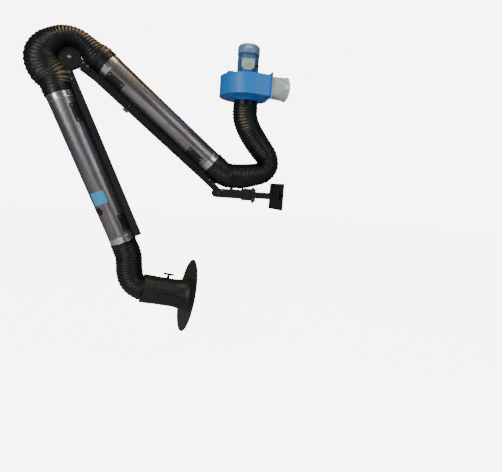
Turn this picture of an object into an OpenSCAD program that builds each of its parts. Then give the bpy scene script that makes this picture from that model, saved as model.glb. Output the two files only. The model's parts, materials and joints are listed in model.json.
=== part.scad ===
// Wall-mounted fume extraction arm with its own extraction fan.
// Origin: centre of the wall plate's back face. +Z is up, -X points out of the wall,
// and the arm folds in the plane y = 0.

/* [Wall bracket] */
// Width of the wall plate, along the wall
plate_w = 276; // [240:1:320]
// Height of the wall plate
plate_h = 206; // [180:1:260]
// Thickness of the wall plate
plate_t = 8; // [6:0.5:12]
// Distance between the bolt holes along the wall
plate_hole_dy = 180; // [150:1:220]
// Distance between the bolt holes up the wall
plate_hole_dz = 150; // [120:1:170]
// Diameter of the wall bolt holes
plate_hole_d = 13; // [9:0.5:17]
// Height of the channel welded across the plate
crossbar_h = 54; // [50:1:80]
// Depth of that channel, out of the wall
crossbar_depth = 20; // [14:1:30]
// Length of that channel
crossbar_w = 210; // [120:1:230]
// Height of the fixed beam
wall_beam_h = 50; // [40:1:56]
// Width of the fixed beam
wall_beam_w = 40; // [30:1:44]
// Distance from the wall to the vertical pivot
pivot_out = 200; // [160:1:260]

/* [Swivel bracket] */
// Distance from the vertical pivot to the shoulder hinge
shoulder_out = 290; // [260:1:360]
// Height of the swivel beam
swivel_h = 67.6; // [64:0.2:80]
// Diameter of the pivot bolt
pivot_d = 16; // [12:1:20]
// Diameter of the shoulder pin
shoulder_pin_d = 20; // [16:1:24]
// Distance of the hose connector from the pivot, towards the shoulder
connector_out = 176; // [170:1:185]
// Height of the hose connector's centre line above the shoulder hinge
connector_up = 134; // [133:1:138]

/* [Arms] */
// Distance between the shoulder and elbow hinges
inner_l = 1300; // [1200:5:1400]
// Rise of the inner arm above the horizontal, in degrees
inner_rise = 38; // [34:0.5:42]
// Length of the outer arm's profile, measured from the elbow hinge
outer_l = 1228; // [1100:4:1300]
// Fall of the outer arm below the horizontal, in degrees
outer_fall = 66; // [62:0.5:70]
// Width of the carrying profiles
profile_w = 50; // [48:1:54]
// Depth of the carrying profiles
profile_h = 44; // [40:1:44]
// Wall of the carrying profiles
profile_t = 2.5; // [2:0.1:2.6]
// Diameter of the shoulder's end discs
shoulder_cheek_d = 64; // [60:1:70]
// Diameter of the elbow's cheek discs
elbow_cheek_d = 136; // [124:1:140]
// Thickness of the cheek plates
cheek_t = 6; // [4:0.5:8]
// Diameter of the elbow pin
elbow_pin_d = 24; // [20:1:28]
// Diameter of the discs between the elbow's cheeks
tongue_d = 120; // [100:1:124]

/* [Tubes and hoses] */
// Outside diameter of the extraction tubes
tube_d = 170; // [164:1:170]
// Wall of the extraction tubes
tube_t = 1.5; // [1:0.1:2]
// Distance of the inner tube's axis from the line between the hinges
inner_tube_off = 137; // [136:1:141]
// Distance of the outer tube's axis from its hinge line
outer_tube_off = 151; // [150:1:156]
// Start of the inner tube, from the shoulder hinge
inner_tube_start = 175; // [170:1:200]
// End of the inner tube, from the shoulder hinge
inner_tube_end = 1120; // [1090:1:1125]
// Start of the outer tube, from the elbow hinge
outer_tube_start = 185; // [180:1:210]
// End of the outer tube, from the elbow hinge
outer_tube_end = 1230; // [1150:1:1240]
// Length of each tube end that is pushed into a hose
spigot_l = 28; // [20:1:30]
// Radial room between a tube end and the hose on it
hose_fit = 0.3; // [0.2:0.05:0.6]
// Thickness of the hose wall
hose_wall = 2.3; // [2:0.1:2.6]
// Height of a rib above the hose wall
rib_rise = 3.5; // [2:0.5:4]
// Ribs of the fan hose
fan_hose_ribs = 42; // [20:1:60]
// Ribs of the shoulder hose
shoulder_hose_ribs = 9; // [5:1:12]
// Ribs of the elbow hose
elbow_hose_ribs = 40; // [20:1:60]
// Ribs of the hood hose above its middle ring
hood_hose_upper_ribs = 10; // [6:1:14]
// Ribs of the hood hose below its middle ring
hood_hose_lower_ribs = 12; // [6:1:16]

/* [Hood] */
// Dip of the hood's axis below the horizontal, in degrees
hood_dip = 10; // [6:0.5:14]
// Distance from the elbow hinge to the hood's hinge, along the outer tube
hood_pivot_s = 1608; // [1580:1:1640]
// Length of the hood from its hinge to the flange disc
hood_l = 326; // [300:1:360]
// Diameter of the hood body
hood_d = 206; // [204:1:216]
// Wall of the hood body
hood_t = 3; // [2:0.1:4]
// Diameter of the flange disc
hood_disc_d = 550; // [450:5:600]
// Thickness of the flange disc
hood_disc_t = 3; // [2:0.5:5]
// Diameter of the opening in the flange disc
hood_mouth_d = 300; // [270:1:330]
// Distance of the damper spindle from the hood's hinge
damper_s = 160; // [150:1:170]
// Length of the T-handle's bar
t_bar_l = 80; // [60:1:100]

/* [Fan] */
// Distance of the fan's axis from the wall
fan_out = 310; // [300:1:320]
// Height of the underside of the fan housing
fan_z = 708; // [690:1:760]
// Height of the fan housing
fan_h = 138; // [120:1:160]
// Radius of the spiral on the side away from the wall
scroll_r = 199; // [190:1:205]
// Growth of the spiral's radius for each turn
scroll_growth = 78.5; // [70:0.5:90]
// Thickness of the housing's sheet
scroll_t = 2.5; // [2:0.1:4]
// Radius of the impeller
impeller_r = 108; // [100:1:112]
// Blades of the impeller
impeller_blades = 10; // [6:1:14]
// Diameter of the outlet's round end
outlet_d = 160; // [150:1:170]
// Length of the outlet's transition piece
transition_l = 134; // [110:1:150]

/* [Motor] */
// Diameter of the motor's frame, without its fins
motor_d = 140; // [130:1:146]
// Height of the motor above the housing
motor_h = 258; // [230:1:280]
// Depth of the cooling fins
fin_depth = 9; // [6:0.5:10]
// Number of cooling fins
fins = 32; // [20:1:40]
// Diameter of the fan cowl
cowl_d = 164; // [160:1:170]
// Height of the fan cowl
cowl_h = 84; // [70:1:90]
// Diameter of the motor shaft
shaft_d = 19; // [16:1:24]

/* [Hidden] */
$fn = 64;

// Overrun of every cut past the face it leaves
over = 1;
// Radial room of a pin or shaft in its bore
run_fit = 0.05;
// Room between flat faces that slide on each other
slide_gap = 0.1;
// Room between a washer or disc and what it lies on
seat_gap = 0.02;

// Small sizes of the wall bracket
knuckle_r = 20;
knuckle_h = 61;
bush_wall = 5;
bush_flange_t = 3;
bush_flange_r = 19;
lug_t = 10;
lug_r = 24;
lug_back = 90;
leaf_t = 3;
leaf_w = 20;
leaf_left = 95;
leaf_right = 31;
leaf_curl_r = 5;
beam_gap = 2.25;
washer_t = 3;
beam_wall = 4;
side_screw_r = 7;
side_screw_t = 5;
side_screw_in = 34;

// Small sizes of the hinges and fasteners
disc_t = 2;
bolt_d = 10;
bolt_head_share = 1.7;
bolt_height_share = 0.64;
plate_bolt_s = [71, 111];
elbow_bolt_s = [78, 110];
elbow_bolt_v = 33;
outer_bolt_s = [84, 124];
inner_bolt_v = 28;
outer_bolt_v = 41;
profile_start = 56;
profile_stop = 66;
outer_profile_start = 70;
outer_profile_off = 14;
cheek_neck_l = 80;
elbow_neck_l = 112;
tongue_neck_l = 90;
pin_head_r = 19;
pin_head_t = 12;

// Shape of the side plates, as shares of their round end
cheek_low_share = 0.98;
cheek_high_share = 0.62;
cheek_top_share = 0.9;
tongue_low_share = 1.3;
tongue_high_share = 0.6;
tongue_room = 3;

// Small sizes of the balance spring
anchor_from_elbow = 450;
anchor_v = 28;
crank_r = 50;
crank_turn = 195;
spring_r = 9;
spring_l = 232;
spring_rod_r = 5;
spring_pin_r = 5;
eye_r = 10;
eye_w = 12;
anchor_drop = 15;
anchor_l = 36;
anchor_screw_r = 4;

// Small sizes of the tubes
saddle_l = 120;
saddle_t = 3;
saddle_turn = 66;
saddle_place = [253, 952];
outer_saddle_place = [270, 1040];
saddle_screw_r = 6;
saddle_screw_h = 4;
saddle_screw_turn = 8;
saddle_shank_r = 3;
saddle_shank_l = 6;
saddle_edge_share = 0.1;
saddle_foot_share = 0.8;
collar_l = 44;
collar_t = 1.2;
bead_r = 2.2;
ring_half = 8;
ring_r = 88;
clamp_l = 10;
clamp_t = 1.2;
clamp_from_end = 7;
clamp_box = 14;
connector_foot_w = 30;
connector_spigot_l = 12;
connector_lead = 4;
plug_s = 978;
plug_turn = 42;
plug_r = 26;
plug_hole_r = 22;
plug_t = 5;
plug_in_share = 0.92;

// Small sizes of the hood and its hinge
link_r = 7;
spider_hub_r = 16;
spider_hub_l = 50;
spider_ring_t = 3;
spider_s = 1170;
spoke_w = 8;
spokes = 3;
tilt_pin_r = 6;
fork_r = 14;
fork_gap = 15.2;
fork_leg = 6;
fork_back = 34;
fork_flat_share = 0.8;
fork_root = 9;
yoke_eye_share = 0.95;
link_nut_r = 13;
link_nut_h = 12;
neck_start = 23;
neck_web_s = 62;
neck_web_t = 5;
yoke_s = 30;
yoke_w = 24;
yoke_t = 15;
hood_lip = 10;
hood_band_l = 72;
hood_band_rise = 1.5;
hood_hose_in = 50;
flare_start = 200;
rib_start = 108;
rib_w = 46;
rib_out = 17;
rib_drop = 18;
rib_in_share = 0.8;
flare_step = 10;
damper_r = 5;
damper_plate_t = 2;
damper_gap = 5;
damper_flat_share = 0.6;
t_stem_r = 6;
t_stem_h = 26;
t_stem_top_share = 1.2;
t_bar_r = 8;
rim_r = 4;

// Small sizes of the fan and the motor
tongue_angle = -44;
scroll_side_angle = 165;
scroll_end = 270;
scroll_step = 10;
flange_x = 112;
flange_lip = 19;
flange_t = 4;
transition_t = 1.5;
transition_side_h = 126;
loft_edge = 0.5;
loft_sides = 48;
loft_room = 0.1;
outlet_ring_l = 40;
outlet_bead_r = 4;
flange_bolt_r = 4;
flange_bolt_h = 6;
flange_bolt_share = 0.6;
inlet_l = 46;
inlet_flange_r = 112;
inlet_flange_t = 3;
backplate_t = 4;
motor_hole_r = 30;
lug_place = 118;
lug_block = [70, 50, 36];
lug_wall = 5;
stud_r = 5;
stud_up = 14;
stud_shank_r = 5.4;
stud_shank_up = 0.5;
motor_flange_r = 80;
motor_flange_t = 12;
fin_t = 3;
cowl_t = 2;
cowl_round = 26;
cowl_dome = 14;
cowl_step = 15;
cowl_ring_shares = [0.32, 0.52, 0.7];
cowl_holes = 12;
cowl_twist = 60;
motor_wall = 26;
shield_t = 30;
bearing_in = 8;
rotor_gap = 1.5;
terminal_turn = 17;
terminal_w = 94;
terminal_h = 82;
terminal_deep = 44;
terminal_up = 79;
terminal_cut = 24;
terminal_lid_t = 8;
terminal_lid_share = 0.94;
terminal_in = 5;
gland_r = 11;
gland_l = 26;
gland_shares = [0.3, 0.55];
gland_waist_share = 0.8;
motor_bolt_pcd_r = 60;
motor_bolt_r = 5;
motor_bolts_n = 4;
shaft_tail = 26;
hub_r = 20;
hub_h = 40;
blade_t = 3;
blade_h = 62;
blade_in_r = 56;
shroud_t = 2;
blade_lean = 38;
blade_reach_share = 0.98;
cool_r = 66;
cool_h = 22;
cool_blades = 7;
bearing_r = 23.5;
bearing_w = 14;
rotor_up = 39;
rotor_l = 90;

// Sides of a hose's rings, and how finely its route is measured
hose_sides = 12;
route_steps = 10;
tangent_share = 0.0025;
// Places along a hose's plain end, in lengths of that end
stub_shares = [0, 0.5, 1, 1.3];
last_stub_shares = [0, 0.5, 1, 1.15];

// Derived places
shoulder = [-(pivot_out + shoulder_out), 0, 0];
inner_turn = inner_rise;
outer_turn = outer_fall - 180;
inner_u = [-cos(inner_turn), 0, sin(inner_turn)];
inner_v = [sin(inner_turn), 0, cos(inner_turn)];
outer_u = [-cos(outer_turn), 0, sin(outer_turn)];
outer_v = [sin(outer_turn), 0, cos(outer_turn)];
elbow = shoulder + inner_l * inner_u;
hood_pivot = elbow + hood_pivot_s * outer_u + outer_tube_off * outer_v;
hood_u = [cos(hood_dip), 0, -sin(hood_dip)];
tube_r = tube_d / 2;
tube_bore_r = tube_r - tube_t;
swivel_half = swivel_h / 2;
swivel_w = profile_w - 2 * (disc_t + 2 * slide_gap);
cheek_in = profile_w / 2;
cheek_out = cheek_in + cheek_t;
channel_half = profile_w / 2 - profile_t;
tongue_out = channel_half - slide_gap * 2;
tongue_in = tongue_out - cheek_t;
disc_in = tongue_out + slide_gap;
inner_profile_l = inner_l - profile_stop - profile_start;
connector_x = -(pivot_out + connector_out);
bush_r = pivot_d / 2 + bush_wall;
hose_bore_r = (tube_r + hose_fit) / cos(180 / hose_sides);
hose_valley_r = hose_bore_r + hose_wall;
hose_crest_r = hose_valley_r + rib_rise;
fan_top = fan_z + fan_h;
fan_axis = [-fan_out, 0, 0];
neck_r = tube_r;
hood_r = hood_d / 2;
mouth_r = hood_mouth_d / 2;
motor_base = fan_top + backplate_t;
crank_end = crank_r * [cos(crank_turn), sin(crank_turn)];
anchor_at = [inner_l - anchor_from_elbow, anchor_v];
crank_at = [inner_l + crank_end[0], crank_end[1]];
spring_span = norm(crank_at - anchor_at);
spring_tilt = atan2(crank_at[1] - anchor_at[1], crank_at[0] - anchor_at[0]);
crank_turn_outer = crank_turn + inner_turn - outer_turn;

// A list in the opposite order
function backwards(list) = [for (k = [len(list) - 1:-1:0]) list[k]];

// Frames of the arms: X runs along the arm, Z to the tube's side
module inner_frame() { translate(shoulder) rotate([0, inner_turn, 0]) rotate([0, 0, 180]) children(); }
module outer_frame() { translate(elbow) rotate([0, outer_turn, 0]) rotate([0, 0, 180]) children(); }
// Frame of the hood: X runs along its axis to the flange disc
module hood_frame() { translate(hood_pivot) rotate([0, hood_dip, 0]) children(); }
module fan_frame() { translate(fan_axis) children(); }
module spring_frame() {
    inner_frame() translate([anchor_at[0], 0, anchor_at[1]]) rotate([0, -spring_tilt, 0]) children();
}

// Round bar along X
module bar_x(r, l) { rotate([0, 90, 0]) cylinder(r = r, h = l); }
// Round bar along Y, from y0 to y1
module bar_y(r, y0, y1) { translate([0, y1, 0]) rotate([90, 0, 0]) cylinder(r = r, h = y1 - y0); }
// Pipe along X
module pipe_x(r_out, r_in, l) {
    difference() {
        bar_x(r_out, l);
        translate([-over, 0, 0]) bar_x(r_in, l + 2 * over);
    }
}
// Block given by its two corners
module block(lo, hi) { translate(lo) cube(hi - lo); }
// The same child on both sides of the plane y = 0
module both_sides() { children(); mirror([0, 1, 0]) children(); }
// Hexagon head along +Z
module hex_head(d) { cylinder(r = d * bolt_head_share / 2, h = d * bolt_height_share, $fn = 6); }

module wall_plate() {
    color("#1d1e22") {
        difference() {
            block([-plate_t, -plate_w / 2, -plate_h / 2], [0, plate_w / 2, plate_h / 2]);
            for (sy = [-1, 1], sz = [-1, 1])
                translate([-plate_t - over, sy * plate_hole_dy / 2, sz * plate_hole_dz / 2])
                    bar_x(plate_hole_d / 2, plate_t + 2 * over);
        }
        difference() {
            block([-plate_t - crossbar_depth, -crossbar_w / 2, -crossbar_h / 2],
                [-plate_t, crossbar_w / 2, crossbar_h / 2]);
            block([-plate_t - crossbar_depth + beam_wall, -crossbar_w / 2 - over, -crossbar_h / 2 + beam_wall],
                [-plate_t + over, crossbar_w / 2 + over, crossbar_h / 2 - beam_wall]);
        }
    }
}

module wall_beam() {
    beam_from = -pivot_out;
    beam_to = -plate_t - crossbar_depth;
    color("#1d1e22") difference() {
        union() {
            block([beam_from, -wall_beam_w / 2, -wall_beam_h / 2],
                [beam_to, wall_beam_w / 2, wall_beam_h / 2]);
            translate([-pivot_out, 0, -knuckle_h / 2]) cylinder(r = knuckle_r, h = knuckle_h);
        }
        block([beam_from + knuckle_r + beam_wall, -wall_beam_w / 2 + beam_wall, -wall_beam_h / 2 + beam_wall],
            [beam_to + over, wall_beam_w / 2 - beam_wall, wall_beam_h / 2 - beam_wall]);
        translate([-pivot_out, 0, -knuckle_h / 2 - over]) cylinder(r = bush_r, h = knuckle_h + 2 * over);
        block([-pivot_out - knuckle_r, -wall_beam_w, wall_beam_h], [-pivot_out, wall_beam_w, knuckle_h]);
    }
}

// Flanged plastic bushes, pressed in from above and below
module knuckle_bushes() {
    color("#c9c4b4") translate([-pivot_out, 0, 0]) for (s = [0, 1]) mirror([0, 0, s]) difference() {
        union() {
            translate([0, 0, knuckle_h / 4]) cylinder(r = bush_r, h = knuckle_h / 4);
            translate([0, 0, knuckle_h / 2]) cylinder(r = bush_flange_r, h = bush_flange_t);
        }
        translate([0, 0, -over]) cylinder(r = pivot_d / 2 + run_fit, h = knuckle_h + over);
    }
}

// Hexagon bolt that clamps the swivel's lugs, with its washer and nut
module pivot_bolt() {
    lug_top = swivel_half + lug_t;
    color("#c6c9cc") translate([-pivot_out, 0, 0]) {
        translate([0, 0, lug_top + leaf_t]) hex_head(pivot_d);
        translate([0, 0, -lug_top - washer_t - pivot_d])
            cylinder(r = pivot_d / 2, h = 2 * lug_top + washer_t + leaf_t + pivot_d);
        difference() {
            translate([0, 0, -lug_top - washer_t]) cylinder(r = pivot_d, h = washer_t);
            translate([0, 0, -2 * lug_top]) cylinder(r = pivot_d / 2 + seat_gap, h = 2 * lug_top);
        }
        difference() {
            translate([0, 0, -lug_top - washer_t - pivot_d * bolt_height_share - seat_gap]) hex_head(pivot_d);
            translate([0, 0, -2 * lug_top]) cylinder(r = pivot_d / 2 + seat_gap, h = 2 * lug_top);
        }
    }
}

// Spring strip under the bolt head, with a curled end
module friction_leaf() {
    lug_top = swivel_half + lug_t;
    color("#8d8f92") translate([-pivot_out, 0, lug_top]) {
        difference() {
            block([-leaf_left, -leaf_w / 2, 0], [leaf_right, leaf_w / 2, leaf_t]);
            translate([0, 0, -over]) cylinder(r = pivot_d / 2 + run_fit, h = leaf_t + 2 * over);
        }
        difference() {
            translate([leaf_right, 0, leaf_curl_r]) bar_y(leaf_curl_r, -leaf_w / 2, leaf_w / 2);
            translate([leaf_right, 0, leaf_curl_r]) bar_y(leaf_curl_r - leaf_t / 2, -leaf_w, leaf_w);
            block([leaf_right - leaf_curl_r - over, -leaf_w, leaf_curl_r],
                [leaf_right, leaf_w, 2 * leaf_curl_r + over]);
        }
    }
}

// Box beam with two lugs round the knuckle and a round shoulder end
module swivel_bracket() {
    beam_end = -pivot_out - knuckle_r - beam_gap;
    color("#1d1e22") {
        difference() {
            union() {
                block([shoulder[0], -swivel_w / 2, -swivel_half], [beam_end, swivel_w / 2, swivel_half]);
                translate(shoulder) bar_y(swivel_half, -swivel_w / 2, swivel_w / 2);
            }
            translate(shoulder) bar_y(shoulder_pin_d / 2 + run_fit, -swivel_w, swivel_w);
            block([shoulder[0] + swivel_half + beam_wall, -swivel_w / 2 + beam_wall,
                -swivel_half + beam_wall],
                [beam_end + over, swivel_w / 2 - beam_wall, swivel_half - beam_wall]);
        }
        for (s = [0, 1]) mirror([0, 0, s]) difference() {
            union() {
                block([-pivot_out - lug_back, -swivel_w / 2, swivel_half],
                    [-pivot_out, swivel_w / 2, swivel_half + lug_t]);
                translate([-pivot_out, 0, swivel_half]) cylinder(r = lug_r, h = lug_t);
            }
            translate([-pivot_out, 0, swivel_half - over])
                cylinder(r = pivot_d / 2 + run_fit, h = lug_t + 2 * over);
        }
        translate([-pivot_out - side_screw_in, -swivel_w / 2, 0]) bar_y(side_screw_r, -side_screw_t, 0);
    }
}

// Steel sleeve that joins the fan hose and the shoulder hose, on a foot on the beam
module connector_sleeve() {
    half = ring_half + spigot_l;
    color("#9a948a") {
        translate([connector_x - ring_half - connector_spigot_l, 0, connector_up])
            pipe_x(tube_r, tube_bore_r, 2 * ring_half + connector_spigot_l + spigot_l);
        translate([connector_x - ring_half, 0, connector_up]) pipe_x(ring_r, tube_r, 2 * ring_half);
        difference() {
            block([connector_x - ring_half, -connector_foot_w / 2, swivel_half],
                [connector_x + ring_half, connector_foot_w / 2, connector_up - tube_r]);
            translate([connector_x - half, 0, connector_up]) bar_x(ring_r, 2 * half);
        }
    }
}

// Strap with a tightening box, round the plain end of a hose
module band_clamp() {
    r = hose_valley_r + clamp_t / 4;
    translate([-clamp_l / 2, 0, 0]) pipe_x(r + clamp_t, r, clamp_l);
    difference() {
        translate([-clamp_l / 2, r, -clamp_box / 2]) cube([clamp_l, clamp_box / 2, clamp_box]);
        translate([-clamp_l, 0, 0]) bar_x(r + clamp_t / 2, 2 * clamp_l);
    }
}

module connector_clamps() {
    color("#6f7276") for (s = [-1, 1])
        translate([connector_x + s * (ring_half + clamp_from_end), 0, connector_up]) band_clamp();
}

// Friction discs between the shoulder's cheeks and the beam
module shoulder_discs() {
    color("#6b5a48") translate(shoulder) both_sides() difference() {
        bar_y(swivel_half, swivel_w / 2 + seat_gap, swivel_w / 2 + seat_gap + disc_t);
        bar_y(shoulder_pin_d / 2 + run_fit, 0, cheek_out);
    }
}

// Channel section, open away from the tube
module channel(l) {
    difference() {
        block([0, -profile_w / 2, 0], [l, profile_w / 2, profile_h]);
        block([-over, -channel_half, -over], [l + over, channel_half, profile_h - profile_t]);
    }
}

module inner_profile() {
    color("#17181b") inner_frame() difference() {
        translate([profile_start, 0, 0]) channel(inner_profile_l);
        translate([anchor_at[0], 0, anchor_at[1]]) bar_y(spring_pin_r, -profile_w, profile_w);
        for (s = plate_bolt_s) translate([s, 0, inner_bolt_v]) bar_y(bolt_d / 2, -profile_w, profile_w);
        for (s = elbow_bolt_s)
            translate([inner_l - s, 0, elbow_bolt_v]) bar_y(bolt_d / 2, -profile_w, profile_w);
    }
}

// Side plate: a disc round the hinge with a neck along the profile
module cheek(r, neck_l, neck_lo, neck_hi, y0, y1, bore_r) {
    rise = neck_hi - neck_lo;
    nose = neck_l + rise / 2;
    outline = [
        [0, -r * cheek_low_share], [r * cheek_low_share, neck_lo], [neck_l, neck_lo],
        [nose, neck_lo + rise / 4], [nose, neck_hi - rise / 4], [neck_l, neck_hi],
        [r * cheek_high_share, neck_hi], [0, r * cheek_top_share]];
    difference() {
        union() {
            bar_y(r, y0, y1);
            translate([0, y1, 0]) rotate([90, 0, 0]) linear_extrude(height = y1 - y0) polygon(outline);
        }
        bar_y(bore_r, y0 - over, y1 + over);
    }
}

module shoulder_cheeks() {
    color("#1a1b1e") inner_frame() both_sides() difference() {
        cheek(shoulder_cheek_d / 2, cheek_neck_l + profile_start / 2, 0, profile_h - cheek_t,
            cheek_in, cheek_out, shoulder_pin_d / 2 + run_fit);
        for (s = plate_bolt_s) translate([s, 0, inner_bolt_v]) bar_y(bolt_d / 2, 0, profile_w);
    }
}

module elbow_cheeks() {
    color("#1a1b1e") inner_frame() both_sides() translate([inner_l, 0, 0]) mirror([1, 0, 0]) difference() {
        cheek(elbow_cheek_d / 2, elbow_neck_l, 0, profile_h, cheek_in, cheek_out, elbow_pin_d / 2 + run_fit);
        for (s = elbow_bolt_s) translate([s, 0, elbow_bolt_v]) bar_y(bolt_d / 2, 0, profile_w);
    }
}

// A hinge pin with a round head and a nut of the same size
module hinge_pin(r, head_r) {
    bar_y(r, -cheek_out - pin_head_t, cheek_out + pin_head_t);
    both_sides() difference() {
        bar_y(head_r, cheek_out + seat_gap, cheek_out + pin_head_t / 2);
        bar_y(r, 0, profile_w);
    }
}

module hinge_pins() {
    color("#b9bcc0") {
        translate(shoulder) hinge_pin(shoulder_pin_d / 2, pin_head_r);
        translate(elbow) hinge_pin(elbow_pin_d / 2, pin_head_r);
    }
}

// Bolt through a profile and its side plates, with a head at each side
module cross_bolt(y_face) {
    bar_y(bolt_d / 2 - seat_gap, -y_face - over, y_face + over);
    both_sides() translate([0, y_face + seat_gap, 0]) rotate([-90, 0, 0]) hex_head(bolt_d);
}

module inner_bolts() {
    color("#d4d6d8") inner_frame() {
        for (s = plate_bolt_s) translate([s, 0, inner_bolt_v]) cross_bolt(cheek_out);
        for (s = elbow_bolt_s) translate([inner_l - s, 0, elbow_bolt_v]) cross_bolt(cheek_out);
        for (s = saddle_place) translate([s, 0, 0]) saddle_screws(inner_tube_off);
    }
}

// Curved sheet cradle under a tube, with a foot on the profile and four screws
module saddle(tube_off, profile_top) {
    r_in = tube_r + seat_gap;
    r_out = r_in + saddle_t;
    foot_w = profile_w * saddle_foot_share;
    difference() {
        union() {
            intersection() {
                translate([0, 0, tube_off]) pipe_x(r_out, r_in, saddle_l);
                block([0, -tube_d, tube_off - tube_d],
                    [saddle_l, tube_d, tube_off - r_in * cos(saddle_turn)]);
            }
            block([0, -foot_w / 2, profile_top], [saddle_l, foot_w / 2, tube_off - r_in]);
        }
        translate([-over, 0, tube_off]) bar_x(r_in, saddle_l + 2 * over);
        saddle_holes(tube_off);
    }
}

// Places of a saddle's four screws: Z points out of the tube
module at_saddle_screws(tube_off) {
    for (side = [-1, 1], s = [saddle_l * saddle_edge_share, saddle_l * (1 - saddle_edge_share)])
        translate([s, 0, tube_off]) rotate([side * (saddle_turn - saddle_screw_turn), 0, 0])
            mirror([0, 0, 1]) children();
}
module saddle_holes(tube_off) {
    at_saddle_screws(tube_off) translate([0, 0, tube_r / 2])
        cylinder(r = saddle_shank_r, h = tube_r, $fn = 24);
}
module saddle_screws(tube_off) {
    at_saddle_screws(tube_off) {
        translate([0, 0, tube_r - saddle_shank_l])
            cylinder(r = saddle_shank_r - seat_gap, h = saddle_shank_l + saddle_t + over, $fn = 24);
        translate([0, 0, tube_r + saddle_t + 2 * seat_gap])
            cylinder(r = saddle_screw_r, h = saddle_screw_h, $fn = 24);
    }
}

module inner_saddles() {
    color("#202126") inner_frame()
        for (s = saddle_place) translate([s, 0, 0]) saddle(inner_tube_off, profile_h);
}

// Thin steel tube that runs on into the hose at both ends
module extraction_tube(start, stop, off) {
    translate([start - spigot_l, 0, off]) pipe_x(tube_r, tube_bore_r, stop - start + 2 * spigot_l);
}

module inner_tube() {
    color("#8f8b84") inner_frame() difference() {
        extraction_tube(inner_tube_start, inner_tube_end, inner_tube_off);
        for (s = saddle_place) translate([s, 0, 0]) saddle_holes(inner_tube_off);
    }
}

// Beaded collar at a tube's end: a band with a round bead at each edge
module collar() {
    bead_at = tube_r + collar_t;
    difference() {
        union() {
            bar_x(bead_at, collar_l);
            for (s = [bead_r, collar_l - bead_r]) translate([s, 0, 0]) rotate([0, 90, 0])
                rotate_extrude() translate([bead_at - bead_r / 2, 0]) circle(r = bead_r, $fn = 24);
        }
        translate([-over, 0, 0]) bar_x(tube_r + seat_gap, collar_l + 2 * over);
    }
}

module two_collars(start, stop, off) {
    translate([start + seat_gap, 0, off]) collar();
    translate([stop - collar_l - seat_gap, 0, off]) collar();
}

module inner_collars() {
    color("#b7b2ac") inner_frame() two_collars(inner_tube_start, inner_tube_end, inner_tube_off);
}

module two_clamps(start, stop, off) {
    translate([start - clamp_from_end, 0, off]) band_clamp();
    translate([stop + clamp_from_end, 0, off]) band_clamp();
}

module inner_clamps() {
    color("#3a3b3f") inner_frame() two_clamps(inner_tube_start, inner_tube_end, inner_tube_off);
}

// Bracket in the channel that takes the push of the balance spring
module spring_anchor() {
    color("#55585c") inner_frame() {
        translate([anchor_at[0], 0, 0]) both_sides() difference() {
            block([-anchor_l / 2, eye_w / 2 + over, -anchor_drop],
                [anchor_l / 2, channel_half - seat_gap, profile_h - profile_t * 2]);
            translate([0, 0, anchor_at[1]]) bar_y(spring_pin_r + seat_gap, 0, profile_w);
        }
        translate([anchor_at[0], 0, anchor_at[1]])
            bar_y(spring_pin_r - seat_gap, -profile_w / 2, profile_w / 2);
        translate([anchor_at[0] - anchor_l / 4, 0, -anchor_drop + anchor_screw_r])
            bar_y(anchor_screw_r, -profile_w / 2, profile_w / 2);
    }
}

module spring_cylinder() {
    color("#26282c") spring_frame() difference() {
        union() {
            bar_y(eye_r, -eye_w / 2, eye_w / 2);
            translate([eye_r / 2, 0, 0]) bar_x(spring_rod_r, eye_r * 2);
            translate([eye_r * 2, 0, 0]) bar_x(spring_r, spring_l - eye_r * 2);
        }
        bar_y(spring_pin_r + run_fit, -eye_w, eye_w);
        translate([eye_r * 3, 0, 0]) bar_x(spring_rod_r + run_fit, spring_l);
    }
}

// Piston rod with an eye: the eye's bore is open round the cranked pin stubs
module spring_rod() {
    color("#c9ccd0") spring_frame() difference() {
        union() {
            translate([spring_l / 2, 0, 0]) bar_x(spring_rod_r, spring_span - spring_l / 2 - eye_r / 2);
            translate([spring_span, 0, 0]) bar_y(eye_r, -eye_w / 2, eye_w / 2);
        }
        translate([spring_span, 0, 0]) bar_y(spring_pin_r + run_fit, -eye_w, eye_w);
    }
}

module outer_profile() {
    color("#17181b") outer_frame() difference() {
        translate([outer_profile_start, 0, outer_profile_off]) channel(outer_l - outer_profile_start);
        for (s = outer_bolt_s) translate([s, 0, outer_bolt_v]) bar_y(bolt_d / 2, -profile_w, profile_w);
    }
}

// Two plates between the elbow's cheeks, with the spacer round the pin and the spring's pin stubs
module outer_tongues() {
    r = tongue_d / 2;
    lo = outer_profile_off + profile_t;
    hi = outer_profile_off + profile_h - tongue_room;
    neck = r + tongue_neck_l;
    color("#2a2b2f") outer_frame() {
        both_sides() difference() {
            union() {
                bar_y(r, tongue_in, tongue_out);
                translate([0, tongue_out, 0]) rotate([90, 0, 0]) linear_extrude(height = cheek_t) polygon([
                    [0, -r * cheek_top_share], [r * tongue_low_share, lo],
                    [neck, lo], [neck, hi], [r * tongue_high_share, hi]]);
            }
            bar_y(elbow_pin_d / 2 + run_fit, 0, profile_w);
            for (s = outer_bolt_s) translate([s, 0, outer_bolt_v]) bar_y(bolt_d / 2, 0, profile_w);
        }
        difference() {
            bar_y(elbow_pin_d / 2 + cheek_t / 2, -tongue_in, tongue_in);
            bar_y(elbow_pin_d / 2 + run_fit, -profile_w, profile_w);
        }
        rotate([0, -crank_turn_outer, 0]) translate([crank_r, 0, 0]) both_sides()
            bar_y(spring_pin_r, eye_w / 2 + over, tongue_in);
    }
}

module elbow_discs() {
    color("#6b5a48") outer_frame() both_sides() difference() {
        bar_y(tongue_d / 2, disc_in, disc_in + disc_t);
        bar_y(elbow_pin_d / 2 + run_fit, 0, profile_w);
    }
}

module outer_bolts() {
    color("#d4d6d8") outer_frame() {
        for (s = outer_bolt_s) translate([s, 0, outer_bolt_v]) cross_bolt(profile_w / 2);
        for (s = outer_saddle_place) translate([s, 0, 0]) saddle_screws(outer_tube_off);
    }
}

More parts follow.
